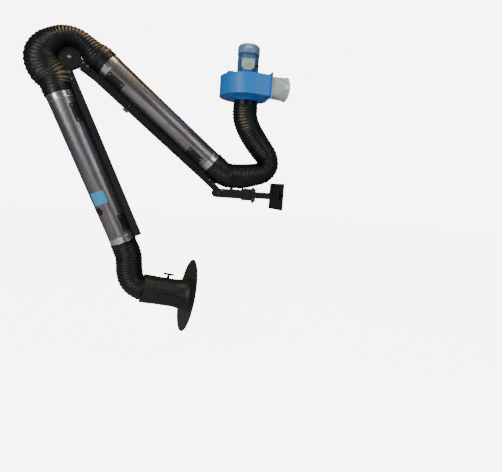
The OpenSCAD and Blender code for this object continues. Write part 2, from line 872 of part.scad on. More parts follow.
module outer_saddles() {
    color("#202126") outer_frame()
        for (s = outer_saddle_place)
            translate([s, 0, 0]) saddle(outer_tube_off, outer_profile_off + profile_h);
}

// Frame of the service hole: Z points out of the outer tube
module plug_frame() {
    translate([plug_s, 0, outer_tube_off]) rotate([-plug_turn, 0, 0]) children();
}

module outer_tube() {
    color("#8f8b84") outer_frame() difference() {
        extraction_tube(outer_tube_start, outer_tube_end, outer_tube_off);
        for (s = outer_saddle_place) translate([s, 0, 0]) saddle_holes(outer_tube_off);
        plug_frame() cylinder(r = plug_hole_r, h = tube_d);
    }
}

module outer_collars() {
    color("#b7b2ac") outer_frame() two_collars(outer_tube_start, outer_tube_end, outer_tube_off);
}

module outer_clamps() {
    color("#3a3b3f") outer_frame() two_clamps(outer_tube_start, outer_tube_end, outer_tube_off);
}

// Rubber plug in the tube's service hole
module tube_plug() {
    color("#141416") outer_frame() plug_frame() difference() {
        union() {
            intersection() {
                cylinder(r = plug_r, h = tube_r + plug_t);
                translate([-tube_r, 0, 0]) bar_x(tube_r + plug_t, tube_d);
            }
            cylinder(r = plug_hole_r - seat_gap, h = tube_r + plug_t / 2);
        }
        cylinder(r = plug_r + over, h = tube_bore_r * plug_in_share);
        // The head's underside follows the tube; only the stem goes through the hole
        difference() {
            translate([-tube_d, 0, 0]) bar_x(tube_r + seat_gap, 2 * tube_d);
            cylinder(r = plug_hole_r - seat_gap, h = tube_r * 2);
        }
    }
}

// Three-spoked bearing that carries the hood's link in the end of the outer tube
module hood_spider() {
    color("#7c7f83") outer_frame() translate([spider_s, 0, outer_tube_off]) difference() {
        union() {
            bar_x(spider_hub_r, spider_hub_l);
            pipe_x(tube_bore_r - seat_gap, tube_bore_r - spider_ring_t, spider_hub_l / 2);
            for (k = [0:spokes - 1]) rotate([k * 360 / spokes, 0, 0])
                block([0, -spoke_w / 2, spider_hub_r / 2],
                    [spider_hub_l / 2, spoke_w / 2, tube_bore_r - spider_ring_t / 2]);
        }
        translate([-over, 0, 0]) bar_x(link_r + run_fit, spider_hub_l + 2 * over);
    }
}

// Rod that turns in the spider and ends in a fork for the hood
module hood_link() {
    fork_out = fork_gap / 2 + fork_leg;
    rod_from = spider_s - link_nut_h - over;
    color("#8a8d91") outer_frame() translate([0, 0, outer_tube_off]) {
        translate([rod_from, 0, 0]) bar_x(link_r, hood_pivot_s - fork_back - rod_from);
        translate([spider_s - link_nut_h - slide_gap, 0, 0]) bar_x(link_nut_r, link_nut_h);
        translate([spider_s + spider_hub_l + slide_gap, 0, 0]) bar_x(link_nut_r, link_nut_h);
        translate([hood_pivot_s, 0, 0]) difference() {
            union() {
                bar_y(fork_r, -fork_out, fork_out);
                block([-fork_back, -fork_out, -fork_r * fork_flat_share], [0, fork_out, fork_r * fork_flat_share]);
            }
            block([-fork_back + fork_root, -fork_gap / 2, -fork_r * 2],
                [fork_r * 2, fork_gap / 2, fork_r * 2]);
            bar_y(tilt_pin_r + run_fit, -profile_w, profile_w);
        }
    }
}

module tilt_pin() {
    fork_out = fork_gap / 2 + fork_leg;
    color("#c6c9cc") translate(hood_pivot) {
        bar_y(tilt_pin_r, -fork_out - link_nut_h / 2, fork_out + link_nut_h / 2);
        both_sides() difference() {
            bar_y(link_nut_r, fork_out + seat_gap, fork_out + link_nut_h / 3);
            bar_y(tilt_pin_r, 0, profile_w);
        }
    }
}

// Cross bar in the neck with the tongue that the link's fork holds
module hood_yoke() {
    tongue_half = fork_gap / 2 - slide_gap;
    color("#5d6064") hood_frame() difference() {
        union() {
            intersection() {
                block([yoke_s, -neck_r, -yoke_w / 2], [yoke_s + yoke_t, neck_r, yoke_w / 2]);
                bar_x(neck_r - tube_t - seat_gap, neck_web_s);
            }
            bar_y(fork_r * yoke_eye_share, -tongue_half, tongue_half);
            block([0, -tongue_half, -fork_r * fork_flat_share],
                [yoke_s + yoke_t / 2, tongue_half, fork_r * fork_flat_share]);
        }
        bar_y(tilt_pin_r + run_fit, -profile_w, profile_w);
    }
}

// Spigot for the hose with a web out to the hood body
module hood_neck() {
    color("#2c2e2d") hood_frame() {
        translate([neck_start, 0, 0]) pipe_x(neck_r, neck_r - tube_t, neck_web_s - neck_start);
        translate([neck_web_s - neck_web_t, 0, 0]) pipe_x(hood_r - hood_t - seat_gap, neck_r, neck_web_t);
    }
}

// Trumpet curve of the hood between its body and the flange disc
function flare(r0, shift) = [for (t = [0:flare_step:90])
    [r0 + (mouth_r - r0) * (1 - cos(t)), flare_start + (hood_l - flare_start - shift) * sin(t)]];

module hood_shell_outline() {
    outer = flare(hood_r, 0);
    inner = flare(hood_r - hood_t, 0);
    band_r = hood_r + hood_band_rise;
    polygon(concat(
        [[hood_r - hood_t, -hood_lip], [band_r - hood_t / 2, -hood_lip], [band_r, -hood_lip + hood_t / 2],
         [band_r, hood_band_l - hood_t], [hood_r, hood_band_l]],
        outer,
        [[mouth_r - hood_t, hood_l]],
        [for (k = [len(inner) - 2:-1:0]) inner[k]]));
}

// Moulded body: collar band, straight run and trumpet flare, with a raised rib at each side
module hood_body() {
    color("#34373a") hood_frame() difference() {
        union() {
            rotate([0, 90, 0]) rotate_extrude($fn = 96) hood_shell_outline();
            both_sides() difference() {
                block([rib_start, hood_r * rib_in_share, -rib_drop - rib_w / 2],
                    [hood_l, hood_r + rib_out, -rib_drop + rib_w / 2]);
                translate([-over, 0, 0]) bar_x(hood_r - hood_t / 2, hood_l + 2 * over);
                rotate([0, 90, 0]) rotate_extrude($fn = 96) polygon(concat(
                    [[0, flare_start]],
                    flare(hood_r - hood_t, 0),
                    [[mouth_r - hood_t, hood_l + over], [0, hood_l + over]]));
            }
        }
        translate([damper_s, 0, -hood_d]) cylinder(r = damper_r + run_fit, h = 2 * hood_d);
    }
}

// Flat disc round the mouth, with a rolled rim
module hood_disc() {
    disc_r = hood_disc_d / 2;
    color("#3c3e3a") hood_frame() translate([hood_l + seat_gap, 0, 0])
        rotate([0, 90, 0]) rotate_extrude($fn = 128) {
            polygon([[mouth_r - hood_t, 0], [disc_r - rim_r, 0], [disc_r - rim_r, hood_disc_t],
                [mouth_r - hood_t, hood_disc_t]]);
            translate([disc_r - rim_r, hood_disc_t / 2]) circle(r = rim_r / 2, $fn = 24);
        }
}

// Spindle across the hood, flattened where the damper plate is screwed on
module damper_spindle() {
    plate_half = hood_r - hood_t - damper_gap;
    color("#b9bcc0") hood_frame() translate([damper_s, 0, 0]) difference() {
        translate([0, 0, -hood_r - damper_r]) cylinder(r = damper_r, h = hood_d + 2 * damper_r);
        block([-damper_r * 2, damper_r * damper_flat_share, -plate_half],
            [damper_r * 2, damper_r * 2, plate_half]);
    }
}

module damper_disc() {
    plate_half = hood_r - hood_t - damper_gap;
    face = damper_r * damper_flat_share + seat_gap;
    color("#7e8286") hood_frame() translate([damper_s, 0, 0])
        bar_y(plate_half - over, face, face + damper_plate_t);
}

// T-handle on the damper spindle's top end, in line with the air when the damper is open
module t_handle() {
    base = hood_r + hood_band_rise / 2;
    color("#232527") hood_frame() translate([damper_s, 0, 0]) difference() {
        union() {
            translate([0, 0, base])
                cylinder(r1 = t_stem_r * 2, r2 = t_stem_r * t_stem_top_share, h = t_stem_h);
            hull() for (s = [-1, 1])
                translate([s * (t_bar_l / 2 - t_bar_r), 0, base + t_stem_h + t_bar_r / 2])
                    sphere(r = t_bar_r, $fn = 24);
        }
        cylinder(r = damper_r + seat_gap, h = hood_r + damper_r + seat_gap);
    }
}

// Radius of the fan's spiral at an angle from the wall side
function spiral_r(a) = scroll_r + scroll_growth / 360 * (a - scroll_side_angle);
function spiral(inset) = [for (a = [tongue_angle:scroll_step:scroll_end - 1])
    (spiral_r(a) - inset) * [cos(a), sin(a)]];
outlet_front = spiral_r(scroll_end);
outlet_side = -spiral_r(tongue_angle) * sin(tongue_angle);
outlet_w = outlet_front - outlet_side;
outlet_y = -(outlet_front + outlet_side) / 2;
function scroll_outline(inset, to_x) = concat(
    [[to_x, -outlet_side - inset]],
    inset > 0 ? [[spiral_r(tongue_angle) * cos(tongue_angle) - inset, -outlet_side - inset]] : [],
    spiral(inset),
    [[0, -outlet_front + inset], [to_x, -outlet_front + inset]]);

// Places of the outlet flange's bolts
module at_flange_bolts() {
    mid_z = fan_z + fan_h / 2;
    for (sy = [-1, 0, 1], sz = [-1, 1])
        translate([flange_x, outlet_y + sy * (outlet_w / 2 - flange_lip / 2),
            mid_z + sz * (fan_h / 2 + flange_lip * flange_bolt_share)]) children();
}

module fan_scroll() {
    color("#3f86cf") fan_frame() difference() {
        translate([0, 0, fan_z]) union() {
            linear_extrude(height = fan_h) polygon(scroll_outline(0, flange_x - flange_t / 2));
            block([flange_x - flange_t, -outlet_front - flange_lip, -flange_lip],
                [flange_x, -outlet_side, fan_h + flange_lip]);
        }
        translate([0, 0, fan_z + scroll_t]) linear_extrude(height = fan_h)
            polygon(scroll_outline(scroll_t, flange_x - flange_t - seat_gap));
        translate([0, 0, fan_z]) block([flange_x - 2 * flange_t, -outlet_front + scroll_t, scroll_t],
            [flange_x + over, -outlet_side - scroll_t, fan_h - seat_gap]);
        translate([0, 0, fan_z - over]) cylinder(r = tube_r + seat_gap, h = fan_h);
        at_flange_bolts() translate([-2 * flange_t, 0, 0]) bar_x(flange_bolt_r, 4 * flange_t);
    }
}

// Places of the motor's bolts on their circle
module at_motor_bolts() {
    for (k = [0:motor_bolts_n - 1]) rotate([0, 0, (k + 0.5) * 360 / motor_bolts_n])
        translate([motor_bolt_pcd_r, 0, 0]) children();
}

// Top plate of the housing, which carries the motor
module fan_backplate() {
    color("#3a7cc2") fan_frame() translate([0, 0, fan_top]) difference() {
        linear_extrude(height = backplate_t) polygon(scroll_outline(0, flange_x - flange_t - seat_gap));
        translate([0, 0, -over]) cylinder(r = motor_hole_r, h = backplate_t + 2 * over);
        at_motor_bolts() translate([0, 0, -over]) cylinder(r = motor_bolt_r, h = backplate_t + 2 * over);
    }
}

// Inlet ring: a collar for the hose below the housing, with a flange and a rounded throat
module fan_inlet() {
    color("#2f6fb8") fan_frame() translate([0, 0, fan_z]) {
        difference() {
            translate([0, 0, -inlet_l]) cylinder(r = tube_r, h = inlet_l + scroll_t);
            translate([0, 0, -inlet_l - over])
                cylinder(r = tube_bore_r, h = inlet_l + scroll_t + 2 * over);
        }
        difference() {
            translate([0, 0, -inlet_flange_t]) cylinder(r = inlet_flange_r, h = inlet_flange_t - seat_gap);
            translate([0, 0, -inlet_l]) cylinder(r = tube_r, h = 2 * inlet_l);
        }
    }
}

// Sheet-metal piece from the rectangular outlet to a round spigot
module outlet_transition() {
    rect_w = outlet_w - 2 * scroll_t;
    cone_l = transition_l - outlet_ring_l;
    mid = [flange_x + seat_gap, outlet_y, fan_z + fan_h / 2];
    module loft(inset, round_r) {
        hull() {
            translate([0, -rect_w / 2 + inset, -transition_side_h / 2 + inset])
                cube([loft_edge, rect_w - 2 * inset, transition_side_h - 2 * inset]);
            translate([cone_l - loft_edge, 0, 0]) bar_x(round_r, loft_edge, $fn = loft_sides);
        }
    }
    color("#b9c4cc") fan_frame() translate(mid) {
        difference() {
            loft(0, outlet_d / 2);
            loft(transition_t, (outlet_d / 2 - transition_t + loft_room) / cos(180 / loft_sides));
        }
        difference() {
            block([0, -outlet_w / 2 - flange_lip, -fan_h / 2 - flange_lip],
                [flange_t / 2, outlet_w / 2, fan_h / 2 + flange_lip]);
            block([-over, -rect_w / 2 + transition_t, -transition_side_h / 2 + transition_t],
                [flange_t, rect_w / 2 - transition_t, transition_side_h / 2 - transition_t]);
            translate(-mid) at_flange_bolts() translate([-flange_t, 0, 0]) bar_x(flange_bolt_r, 4 * flange_t);
        }
        difference() {
            union() {
                translate([cone_l - loft_edge, 0, 0]) bar_x(outlet_d / 2, outlet_ring_l + loft_edge);
                translate([transition_l, 0, 0]) rotate([0, 90, 0]) rotate_extrude()
                    translate([outlet_d / 2 + outlet_bead_r / 2, -outlet_bead_r])
                        circle(r = outlet_bead_r, $fn = 24);
            }
            translate([cone_l - over, 0, 0]) bar_x(outlet_d / 2 - transition_t, 2 * outlet_ring_l);
        }
    }
}

module outlet_bolts() {
    color("#c6c9cc") fan_frame() at_flange_bolts() {
        head_r = flange_bolt_r * bolt_head_share;
        translate([-flange_t - flange_bolt_h, 0, 0])
            bar_x(flange_bolt_r - seat_gap, 2 * flange_bolt_h + 2 * flange_t);
        translate([flange_t / 2 + 2 * seat_gap, 0, 0]) bar_x(head_r, flange_bolt_h);
        translate([-flange_t - flange_bolt_h - seat_gap, 0, 0]) bar_x(head_r, flange_bolt_h);
    }
}

// Channels on the top plate by which the fan hangs on its wall console, with a stud and nut each.
// The stud is pressed in: the shank in the wall is thicker than the thread above it.
module hanging_lugs() {
    lug_z = fan_top + backplate_t + seat_gap;
    color("#1f57a8") fan_frame() for (s = [-1, 1]) translate([s * lug_place, 0, lug_z]) {
        difference() {
            block([-lug_block[0] / 2, -lug_block[1] / 2, 0],
                [lug_block[0] / 2, lug_block[1] / 2, lug_block[2]]);
            block([-lug_block[0] / 2 + lug_wall, -lug_block[1], lug_wall],
                [lug_block[0] / 2 - lug_wall, lug_block[1], lug_block[2] - lug_wall]);
            translate([0, 0, lug_block[2] / 2]) cylinder(r = stud_shank_r + seat_gap, h = lug_block[2]);
        }
        translate([0, 0, lug_block[2] - lug_wall * 2]) cylinder(r = stud_r, h = lug_wall * 2 + stud_up);
        translate([0, 0, lug_block[2] - lug_wall - seat_gap])
            cylinder(r = stud_shank_r, h = lug_wall + seat_gap + stud_shank_up);
        translate([0, 0, lug_block[2] - lug_wall - seat_gap]) mirror([0, 0, 1]) hex_head(stud_r * 2);
    }
}

// Finned motor frame on a round flange
module motor_body() {
    body_top = motor_h - cowl_h + backplate_t;
    r = motor_d / 2;
    color("#8496a8") fan_frame() translate([0, 0, motor_base]) difference() {
        union() {
            cylinder(r = motor_flange_r, h = motor_flange_t);
            cylinder(r = r, h = body_top);
            for (k = [0:fins - 1]) rotate([0, 0, k * 360 / fins])
                block([0, -fin_t / 2, motor_flange_t], [r + fin_depth, fin_t / 2, body_top - fin_t * 2]);
        }
        translate([0, 0, shield_t]) cylinder(r = r - motor_wall, h = body_top - 2 * shield_t);
        translate([0, 0, -over]) cylinder(r = bearing_r, h = body_top + 2 * over);
        at_motor_bolts() translate([0, 0, -over]) cylinder(r = motor_bolt_r, h = motor_flange_t + 2 * over);
        rotate([0, 0, -90 - terminal_turn])
            block([r - terminal_in, -terminal_w / 2, motor_flange_t + over],
                [r + 2 * fin_depth, terminal_w / 2, terminal_up + terminal_h]);
    }
}

// Round sheet cover over the cooling fan, with a domed top and a ring of slots
module motor_cowl() {
    r = cowl_d / 2;
    top = motor_h - backplate_t;
    low = top - cowl_h;
    function dome(ri, zi) = [for (t = [0:cowl_step:90])
        [ri - cowl_round * (1 - cos(t)), zi - cowl_dome - cowl_round * (1 - sin(t))]];
    color("#6f8194") fan_frame() translate([0, 0, motor_base]) difference() {
        rotate_extrude($fn = 96) polygon(concat(
            [[r - cowl_t, low], [r, low]],
            dome(r, top),
            [[shaft_d, top], [0, top], [0, top - cowl_t]],
            backwards(dome(r - cowl_t, top - cowl_t))));
        for (share = cowl_ring_shares, k = [0:cowl_holes - 1])
            rotate([0, 0, k * 360 / cowl_holes + share * cowl_twist])
                translate([r * share, 0, top - cowl_h / 2]) cylinder(r = cowl_t * 2, h = cowl_h);
    }
}

// Terminal box with chamfered lower corners and its lid
module terminal_frame() {
    fan_frame() translate([0, 0, motor_base + terminal_up - terminal_h / 2])
        rotate([0, 0, -terminal_turn]) children();
}
module terminal_box() {
    back = -motor_d / 2 + terminal_in;
    module outline(k) {
        w = k * terminal_w / 2;
        c = k * terminal_cut;
        h = k * terminal_h;
        polygon([[-w, c], [-w + c, 0], [w - c, 0], [w, c], [w, h], [-w, h]]);
    }
    color("#9fb0c0") terminal_frame() {
        translate([0, back - seat_gap, 0]) rotate([90, 0, 0])
            linear_extrude(height = terminal_deep) outline(1);
        translate([0, back - terminal_deep - 2 * seat_gap, terminal_h * (1 - terminal_lid_share) / 2])
            rotate([90, 0, 0]) linear_extrude(height = terminal_lid_t) outline(terminal_lid_share);
    }
}

// Cable gland at the box's lower wall side: no cable shows in the photograph
module cable_gland() {
    color("#101113") terminal_frame()
        translate([terminal_w / 2 + seat_gap, -motor_d / 2 - terminal_deep / 2, terminal_h / 2]) {
            bar_x(gland_r, gland_l * gland_shares[0]);
            translate([gland_l * gland_shares[0], 0, 0])
                bar_x(gland_r * gland_waist_share, gland_l * gland_shares[0]);
            translate([gland_l * gland_shares[1], 0, 0]) bar_x(gland_r, gland_l * (1 - gland_shares[1]));
        }
}

// Bolts from inside the housing into the motor's flange
module motor_bolts() {
    color("#c6c9cc") fan_frame() at_motor_bolts() translate([0, 0, fan_top - motor_bolt_r]) {
        cylinder(r = motor_bolt_r - seat_gap, h = backplate_t + motor_flange_t + motor_bolt_r);
        translate([0, 0, -seat_gap]) cylinder(r = motor_bolt_r * bolt_head_share, h = motor_bolt_r);
    }
}

module motor_bearings() {
    body_top = motor_h - cowl_h + backplate_t;
    color("#aeb2b6") fan_frame() translate([0, 0, motor_base])
        for (z = [bearing_in, body_top - bearing_in - bearing_w]) translate([0, 0, z]) difference() {
            cylinder(r = bearing_r - seat_gap, h = bearing_w);
            translate([0, 0, -over]) cylinder(r = shaft_d / 2 + run_fit, h = bearing_w + 2 * over);
        }
}

module rotor_shaft() {
    top = motor_h - cowl_t - cowl_dome - shaft_tail;
    color("#a9adb1") fan_frame() translate([0, 0, motor_base]) {
        translate([0, 0, -hub_h - backplate_t * 2])
            cylinder(r = shaft_d / 2, h = hub_h + backplate_t * 2 + top);
        translate([0, 0, rotor_up]) cylinder(r = motor_d / 2 - motor_wall - rotor_gap, h = rotor_l);
    }
}

// Radial impeller with leaning blades between a back disc and a ring
module impeller() {
    top = fan_top - motor_flange_t;
    color("#9aa0a6") fan_frame() difference() {
        union() {
            translate([0, 0, top - shroud_t]) cylinder(r = impeller_r, h = shroud_t);
            translate([0, 0, top - hub_h]) cylinder(r = hub_r, h = hub_h);
            for (k = [0:impeller_blades - 1]) rotate([0, 0, k * 360 / impeller_blades])
                translate([blade_in_r, 0, 0]) rotate([0, 0, blade_lean])
                    block([0, -blade_t / 2, top - blade_h],
                        [(impeller_r - blade_in_r) * blade_reach_share, blade_t / 2, top - shroud_t / 2]);
            translate([0, 0, top - blade_h - shroud_t]) difference() {
                cylinder(r = impeller_r, h = shroud_t);
                translate([0, 0, -over]) cylinder(r = blade_in_r, h = shroud_t + 2 * over);
            }
        }
        translate([0, 0, fan_z]) cylinder(r = shaft_d / 2 + seat_gap, h = fan_h);
        translate([0, 0, top - blade_h - 2 * shroud_t]) difference() {
            cylinder(r = 2 * impeller_r, h = blade_h + 2 * shroud_t);
            cylinder(r = impeller_r, h = blade_h + 2 * shroud_t);
        }
    }
}

module cooling_fan() {
    low = motor_h - cowl_h + backplate_t * 3;
    color("#303236") fan_frame() translate([0, 0, motor_base + low]) difference() {
        union() {
            cylinder(r = hub_r, h = cool_h);
            cylinder(r = cool_r, h = shroud_t);
            for (k = [0:cool_blades - 1]) rotate([0, 0, k * 360 / cool_blades])
                block([hub_r / 2, -blade_t / 2, shroud_t / 2],
                    [cool_r - blade_t, blade_t / 2, cool_h - shroud_t]);
        }
        translate([0, 0, -over]) cylinder(r = shaft_d / 2 + seat_gap, h = cool_h + 2 * over);
    }
}

// Routes of the hoses, as points [x, z, flatness] in the plane y = 0.
// Flatness 1 is a round hose; a lower one is squeezed in the plane and wider across it.
function plane(p, f) = [p[0], p[2], f];
function stub(p, u, f = 1) = [for (k = stub_shares) plane(p + k * spigot_l * u, f)];
function inner_at(s) = shoulder + s * inner_u + inner_tube_off * inner_v;
function outer_at(s, v = 0) = elbow + s * outer_u + (outer_tube_off + v) * outer_v;

// Fan hose: how far it bows towards the wall, and its middle as shares of bow and height
fan_hose_bow = 211;
fan_hose_top = fan_z - inlet_l + spigot_l;
fan_hose_shares = [[0.04, 0.77, 1], [0.21, 0.635, 1], [0.45, 0.51, 1], [0.71, 0.395, 0.97],
    [0.95, 0.285, 0.9], [1, 0.17, 0.88], [0.81, 0.075, 0.88], [0.5, 0.04, 0.92], [0.2, 0.015, 0.97]];
fan_hose_end = [connector_x + ring_half, 0, connector_up];
fan_route = concat(
    stub([-fan_out, 0, fan_hose_top], [0, 0, -1]),
    [for (p = fan_hose_shares)
        [-fan_out + p[0] * fan_hose_bow, connector_up + p[1] * (fan_hose_top - connector_up), p[2]]],
    backwards(stub(fan_hose_end, [1, 0, 0])));

// Shoulder hose: straight off the connector, then one bend into the inner tube's line
shoulder_from = [connector_x - ring_half - connector_spigot_l - connector_lead, 0, connector_up];
shoulder_to = inner_at(inner_tube_start);
shoulder_corner = shoulder_to[0] + (shoulder_to[2] - connector_up) / tan(inner_turn);
shoulder_bend_r = (shoulder_from[0] - shoulder_corner) / tan(inner_turn / 2);
shoulder_bend_shares = [[0.25, 0.98], [0.5, 0.96], [0.75, 0.98], [1, 1]];
shoulder_route = concat(
    [for (k = [1, 0.5, 0]) plane(shoulder_from + [connector_lead + k * connector_spigot_l, 0, 0], 1)],
    [plane(shoulder_from, 1)],
    [for (p = shoulder_bend_shares) let (turn = p[0] * inner_turn)
        plane(shoulder_from + shoulder_bend_r * [-sin(turn), 0, 1 - cos(turn)], p[1])],
    backwards([for (k = last_stub_shares) plane(inner_at(inner_tube_start - k * spigot_l), 1)]));

// Elbow hose: it wraps the cheek discs, at [angle round the hinge, distance, flatness]
elbow_hose_shares = [[14, 0.97, 0.93], [34, 0.84, 0.74], [64, 0.79, 0.67], [101, 0.79, 0.67],
    [134, 0.83, 0.76], [160, 0.93, 0.92], [186, 1.02, 1.08], [212, 1.06, 1.1], [235, 1.06, 1.02]];
elbow_route = concat(
    stub(inner_at(inner_tube_end), inner_u),
    [for (p = elbow_hose_shares)
        [elbow[0] + p[1] * tube_d * cos(p[0]), elbow[2] + p[1] * tube_d * sin(p[0]), p[2]]],
    backwards(stub(outer_at(outer_tube_start), -outer_u)));

// Hood hose: it bulges away from the straight line to the hood's neck
hood_hose_shares = [[0.32, 0.03, 1], [0.46, 0.14, 1], [0.6, 0.25, 1], [0.76, 0.3, 0.96], [0.9, 0.21, 0.93]];
hood_run = hood_pivot_s - outer_tube_end;
hood_route = concat(
    stub(outer_at(outer_tube_end), outer_u),
    [for (p = hood_hose_shares) plane(outer_at(outer_tube_end + p[0] * hood_run, p[1] * tube_d), p[2])],
    backwards(stub(hood_pivot + hood_hose_in * hood_u, -hood_u)));

// Smooth curve through the points of a route, and the length along it
function gap(a, b) = norm([b[0] - a[0], b[1] - a[1]]);
function pass(a, b, c, d, t) = let (
    ab = gap(a, b),
    bc = gap(b, c),
    cd = gap(c, d),
    m = bc * ((b - a) / ab - (c - a) / (ab + bc)) + (c - b),
    n = bc * ((d - c) / cd - (d - b) / (bc + cd)) + (c - b))
    (2 * t * t * t - 3 * t * t + 1) * b + (t * t * t - 2 * t * t + t) * m
        + (3 * t * t - 2 * t * t * t) * c + (t * t * t - t * t) * n;
function smooth(p) = let (
    n = len(p),
    before = 2 * p[0] - p[1],
    after = 2 * p[n - 1] - p[n - 2])
    concat(
        [for (i = [0:n - 2], j = [0:route_steps - 1])
            pass(i == 0 ? before : p[i - 1], p[i], p[i + 1], i == n - 2 ? after : p[i + 2], j / route_steps)],
        [p[n - 1]]);
function lengths(q) = [for (
    i = 0, s = 0;
    i < len(q);
    s = s + (i + 1 < len(q) ? gap(q[i], q[i + 1]) : 0), i = i + 1) s];
function column(q, l, k) = [for (i = [0:len(q) - 1]) [l[i], q[i][k]]];

// One ring of the hose: it stands square to the route
function ring(tables, at, r, total) = let (
    step = total * tangent_share,
    a = max(0, at - step),
    b = min(total, at + step),
    dx = lookup(b, tables[0]) - lookup(a, tables[0]),
    dz = lookup(b, tables[1]) - lookup(a, tables[1]),
    n = [-dz, dx] / norm([dx, dz]),
    x = lookup(at, tables[0]),
    z = lookup(at, tables[1]),
    f = lookup(at, tables[2]),
    wide = sqrt(2 - f * f))
    [for (k = [0:hose_sides - 1]) let (turn = (k + 0.5) * 360 / hose_sides)
        [x + n[0] * r * f * cos(turn), r * wide * sin(turn), z + n[1] * r * f * cos(turn)]];

function quad(a, b, c, d) = [[a, b, c], [a, c, d]];
function skin(first, rings, flip) = [for (i = [0:rings - 2], k = [0:hose_sides - 1])
    let (m = (k + 1) % hose_sides, p = first + i * hose_sides, q = p + hose_sides)
    each (flip ? quad(p + k, q + k, q + m, p + m) : quad(p + k, p + m, q + m, q + k))];
function end_ring(a, b, flip) = [for (k = [0:hose_sides - 1]) let (m = (k + 1) % hose_sides)
    each (flip ? quad(a + k, a + m, b + m, b + k) : quad(a + k, b + k, b + m, a + m))];

// Ribbed hose along a route, from one share of its length to another, with its bore
module ribbed_hose(route, ribs, from_share, to_share, plain_start, plain_end) {
    q = smooth(route);
    l = lengths(q);
    total = l[len(l) - 1];
    tables = [column(q, l, 0), column(q, l, 1), column(q, l, 2)];
    start = from_share * total;
    stop = to_share * total;
    pitch = (stop - start - plain_start - plain_end) / ribs;
    ribs_from = start + plain_start;
    marks = concat(
        plain_start > 0 ? [[start, hose_valley_r]] : [],
        [[ribs_from, hose_valley_r]],
        [for (i = [0:ribs - 1]) each [
            [ribs_from + (i + 0.5) * pitch, hose_crest_r],
            [ribs_from + (i + 1) * pitch, hose_valley_r]]],
        plain_end > 0 ? [[stop, hose_valley_r]] : []);
    bore_marks = concat(
        plain_start > 0 ? [start] : [],
        [for (i = [0:2:ribs - 1]) ribs_from + i * pitch],
        [ribs_from + ribs * pitch],
        plain_end > 0 ? [stop] : []);
    outside = [for (m = marks) each ring(tables, m[0], m[1], total)];
    inside = [for (m = bore_marks) each ring(tables, m, hose_bore_r, total)];
    n_out = len(marks);
    n_in = len(bore_marks);
    base = n_out * hose_sides;
    polyhedron(
        points = concat(outside, inside),
        faces = concat(
            skin(0, n_out, false),
            skin(base, n_in, true),
            end_ring(0, base, false),
            end_ring((n_out - 1) * hose_sides, base + (n_in - 1) * hose_sides, true)));
}

module fan_hose() {
    color("#15161c") ribbed_hose(fan_route, fan_hose_ribs, 0, 1, spigot_l, spigot_l);
}
module shoulder_hose() {
    color("#15161c") ribbed_hose(shoulder_route, shoulder_hose_ribs, 0, 1, connector_spigot_l, spigot_l);
}
module elbow_hose() {
    color("#15161c") ribbed_hose(elbow_route, elbow_hose_ribs, 0, 1, spigot_l, spigot_l);
}
// The hood hose is two lengths that meet at a ring: the upper turns with the link, the lower tilts
hood_hose_split_share = 0.46;
module hood_hose_upper() {
    color("#15161c") ribbed_hose(hood_route, hood_hose_upper_ribs, 0, hood_hose_split_share, spigot_l, 0);
}
module hood_hose_lower() {
    color("#15161c") ribbed_hose(hood_route, hood_hose_lower_ribs, hood_hose_split_share, 1, 0, spigot_l);
}

wall_plate();
wall_beam();
knuckle_bushes();
pivot_bolt();
friction_leaf();
swivel_bracket();
connector_sleeve();
connector_clamps();
shoulder_discs();
inner_profile();
shoulder_cheeks();
elbow_cheeks();
hinge_pins();
inner_bolts();
inner_saddles();
inner_tube();
inner_collars();
inner_clamps();
spring_anchor();
spring_cylinder();
spring_rod();
outer_profile();
outer_tongues();
elbow_discs();
outer_bolts();
outer_saddles();
outer_tube();
outer_collars();
outer_clamps();
tube_plug();
hood_spider();
hood_link();
tilt_pin();
hood_yoke();
hood_neck();
hood_body();
hood_disc();
damper_spindle();
damper_disc();
t_handle();
fan_scroll();
fan_backplate();
fan_inlet();
outlet_transition();
outlet_bolts();
hanging_lugs();
motor_body();
motor_cowl();
terminal_box();
cable_gland();
motor_bolts();
motor_bearings();
rotor_shaft();
impeller();
cooling_fan();
fan_hose();
shoulder_hose();
elbow_hose();
hood_hose_upper();
hood_hose_lower();
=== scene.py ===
# %% [markdown]
# # Dressing a wall-mounted fume extraction arm
# The arm sucks fumes and vapours through two steel tubes that are joined by ribbed hoses.
# Its rigid pieces come from the CAD model, and this lesson adds what solids can't show: the hoses'
# wire ribs, the finish of each sheet and casting, and the small fittings.

# %% Load the frame
import json
import math

import bmesh
import bpy
import numpy as np
from mathutils import Matrix, Vector


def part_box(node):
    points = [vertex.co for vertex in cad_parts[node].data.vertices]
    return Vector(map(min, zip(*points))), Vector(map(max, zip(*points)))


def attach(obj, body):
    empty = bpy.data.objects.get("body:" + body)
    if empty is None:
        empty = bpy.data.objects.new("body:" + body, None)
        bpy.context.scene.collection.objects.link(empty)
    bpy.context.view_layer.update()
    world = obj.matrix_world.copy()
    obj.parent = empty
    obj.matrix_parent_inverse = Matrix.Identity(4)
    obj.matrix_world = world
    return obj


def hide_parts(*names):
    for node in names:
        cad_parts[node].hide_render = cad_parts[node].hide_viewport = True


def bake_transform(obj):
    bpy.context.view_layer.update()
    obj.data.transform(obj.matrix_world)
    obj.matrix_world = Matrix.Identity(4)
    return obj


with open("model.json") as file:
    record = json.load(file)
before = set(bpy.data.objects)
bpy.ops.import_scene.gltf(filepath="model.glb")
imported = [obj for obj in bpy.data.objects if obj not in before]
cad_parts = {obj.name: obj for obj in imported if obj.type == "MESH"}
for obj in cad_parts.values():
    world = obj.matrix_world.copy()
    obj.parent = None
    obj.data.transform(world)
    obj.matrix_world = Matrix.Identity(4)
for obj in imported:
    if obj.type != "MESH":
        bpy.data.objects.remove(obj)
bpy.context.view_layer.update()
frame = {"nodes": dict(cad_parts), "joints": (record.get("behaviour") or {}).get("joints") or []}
nodes = frame["nodes"]
joints = {joint["name"]: joint for joint in frame["joints"]}
mm = 0.001
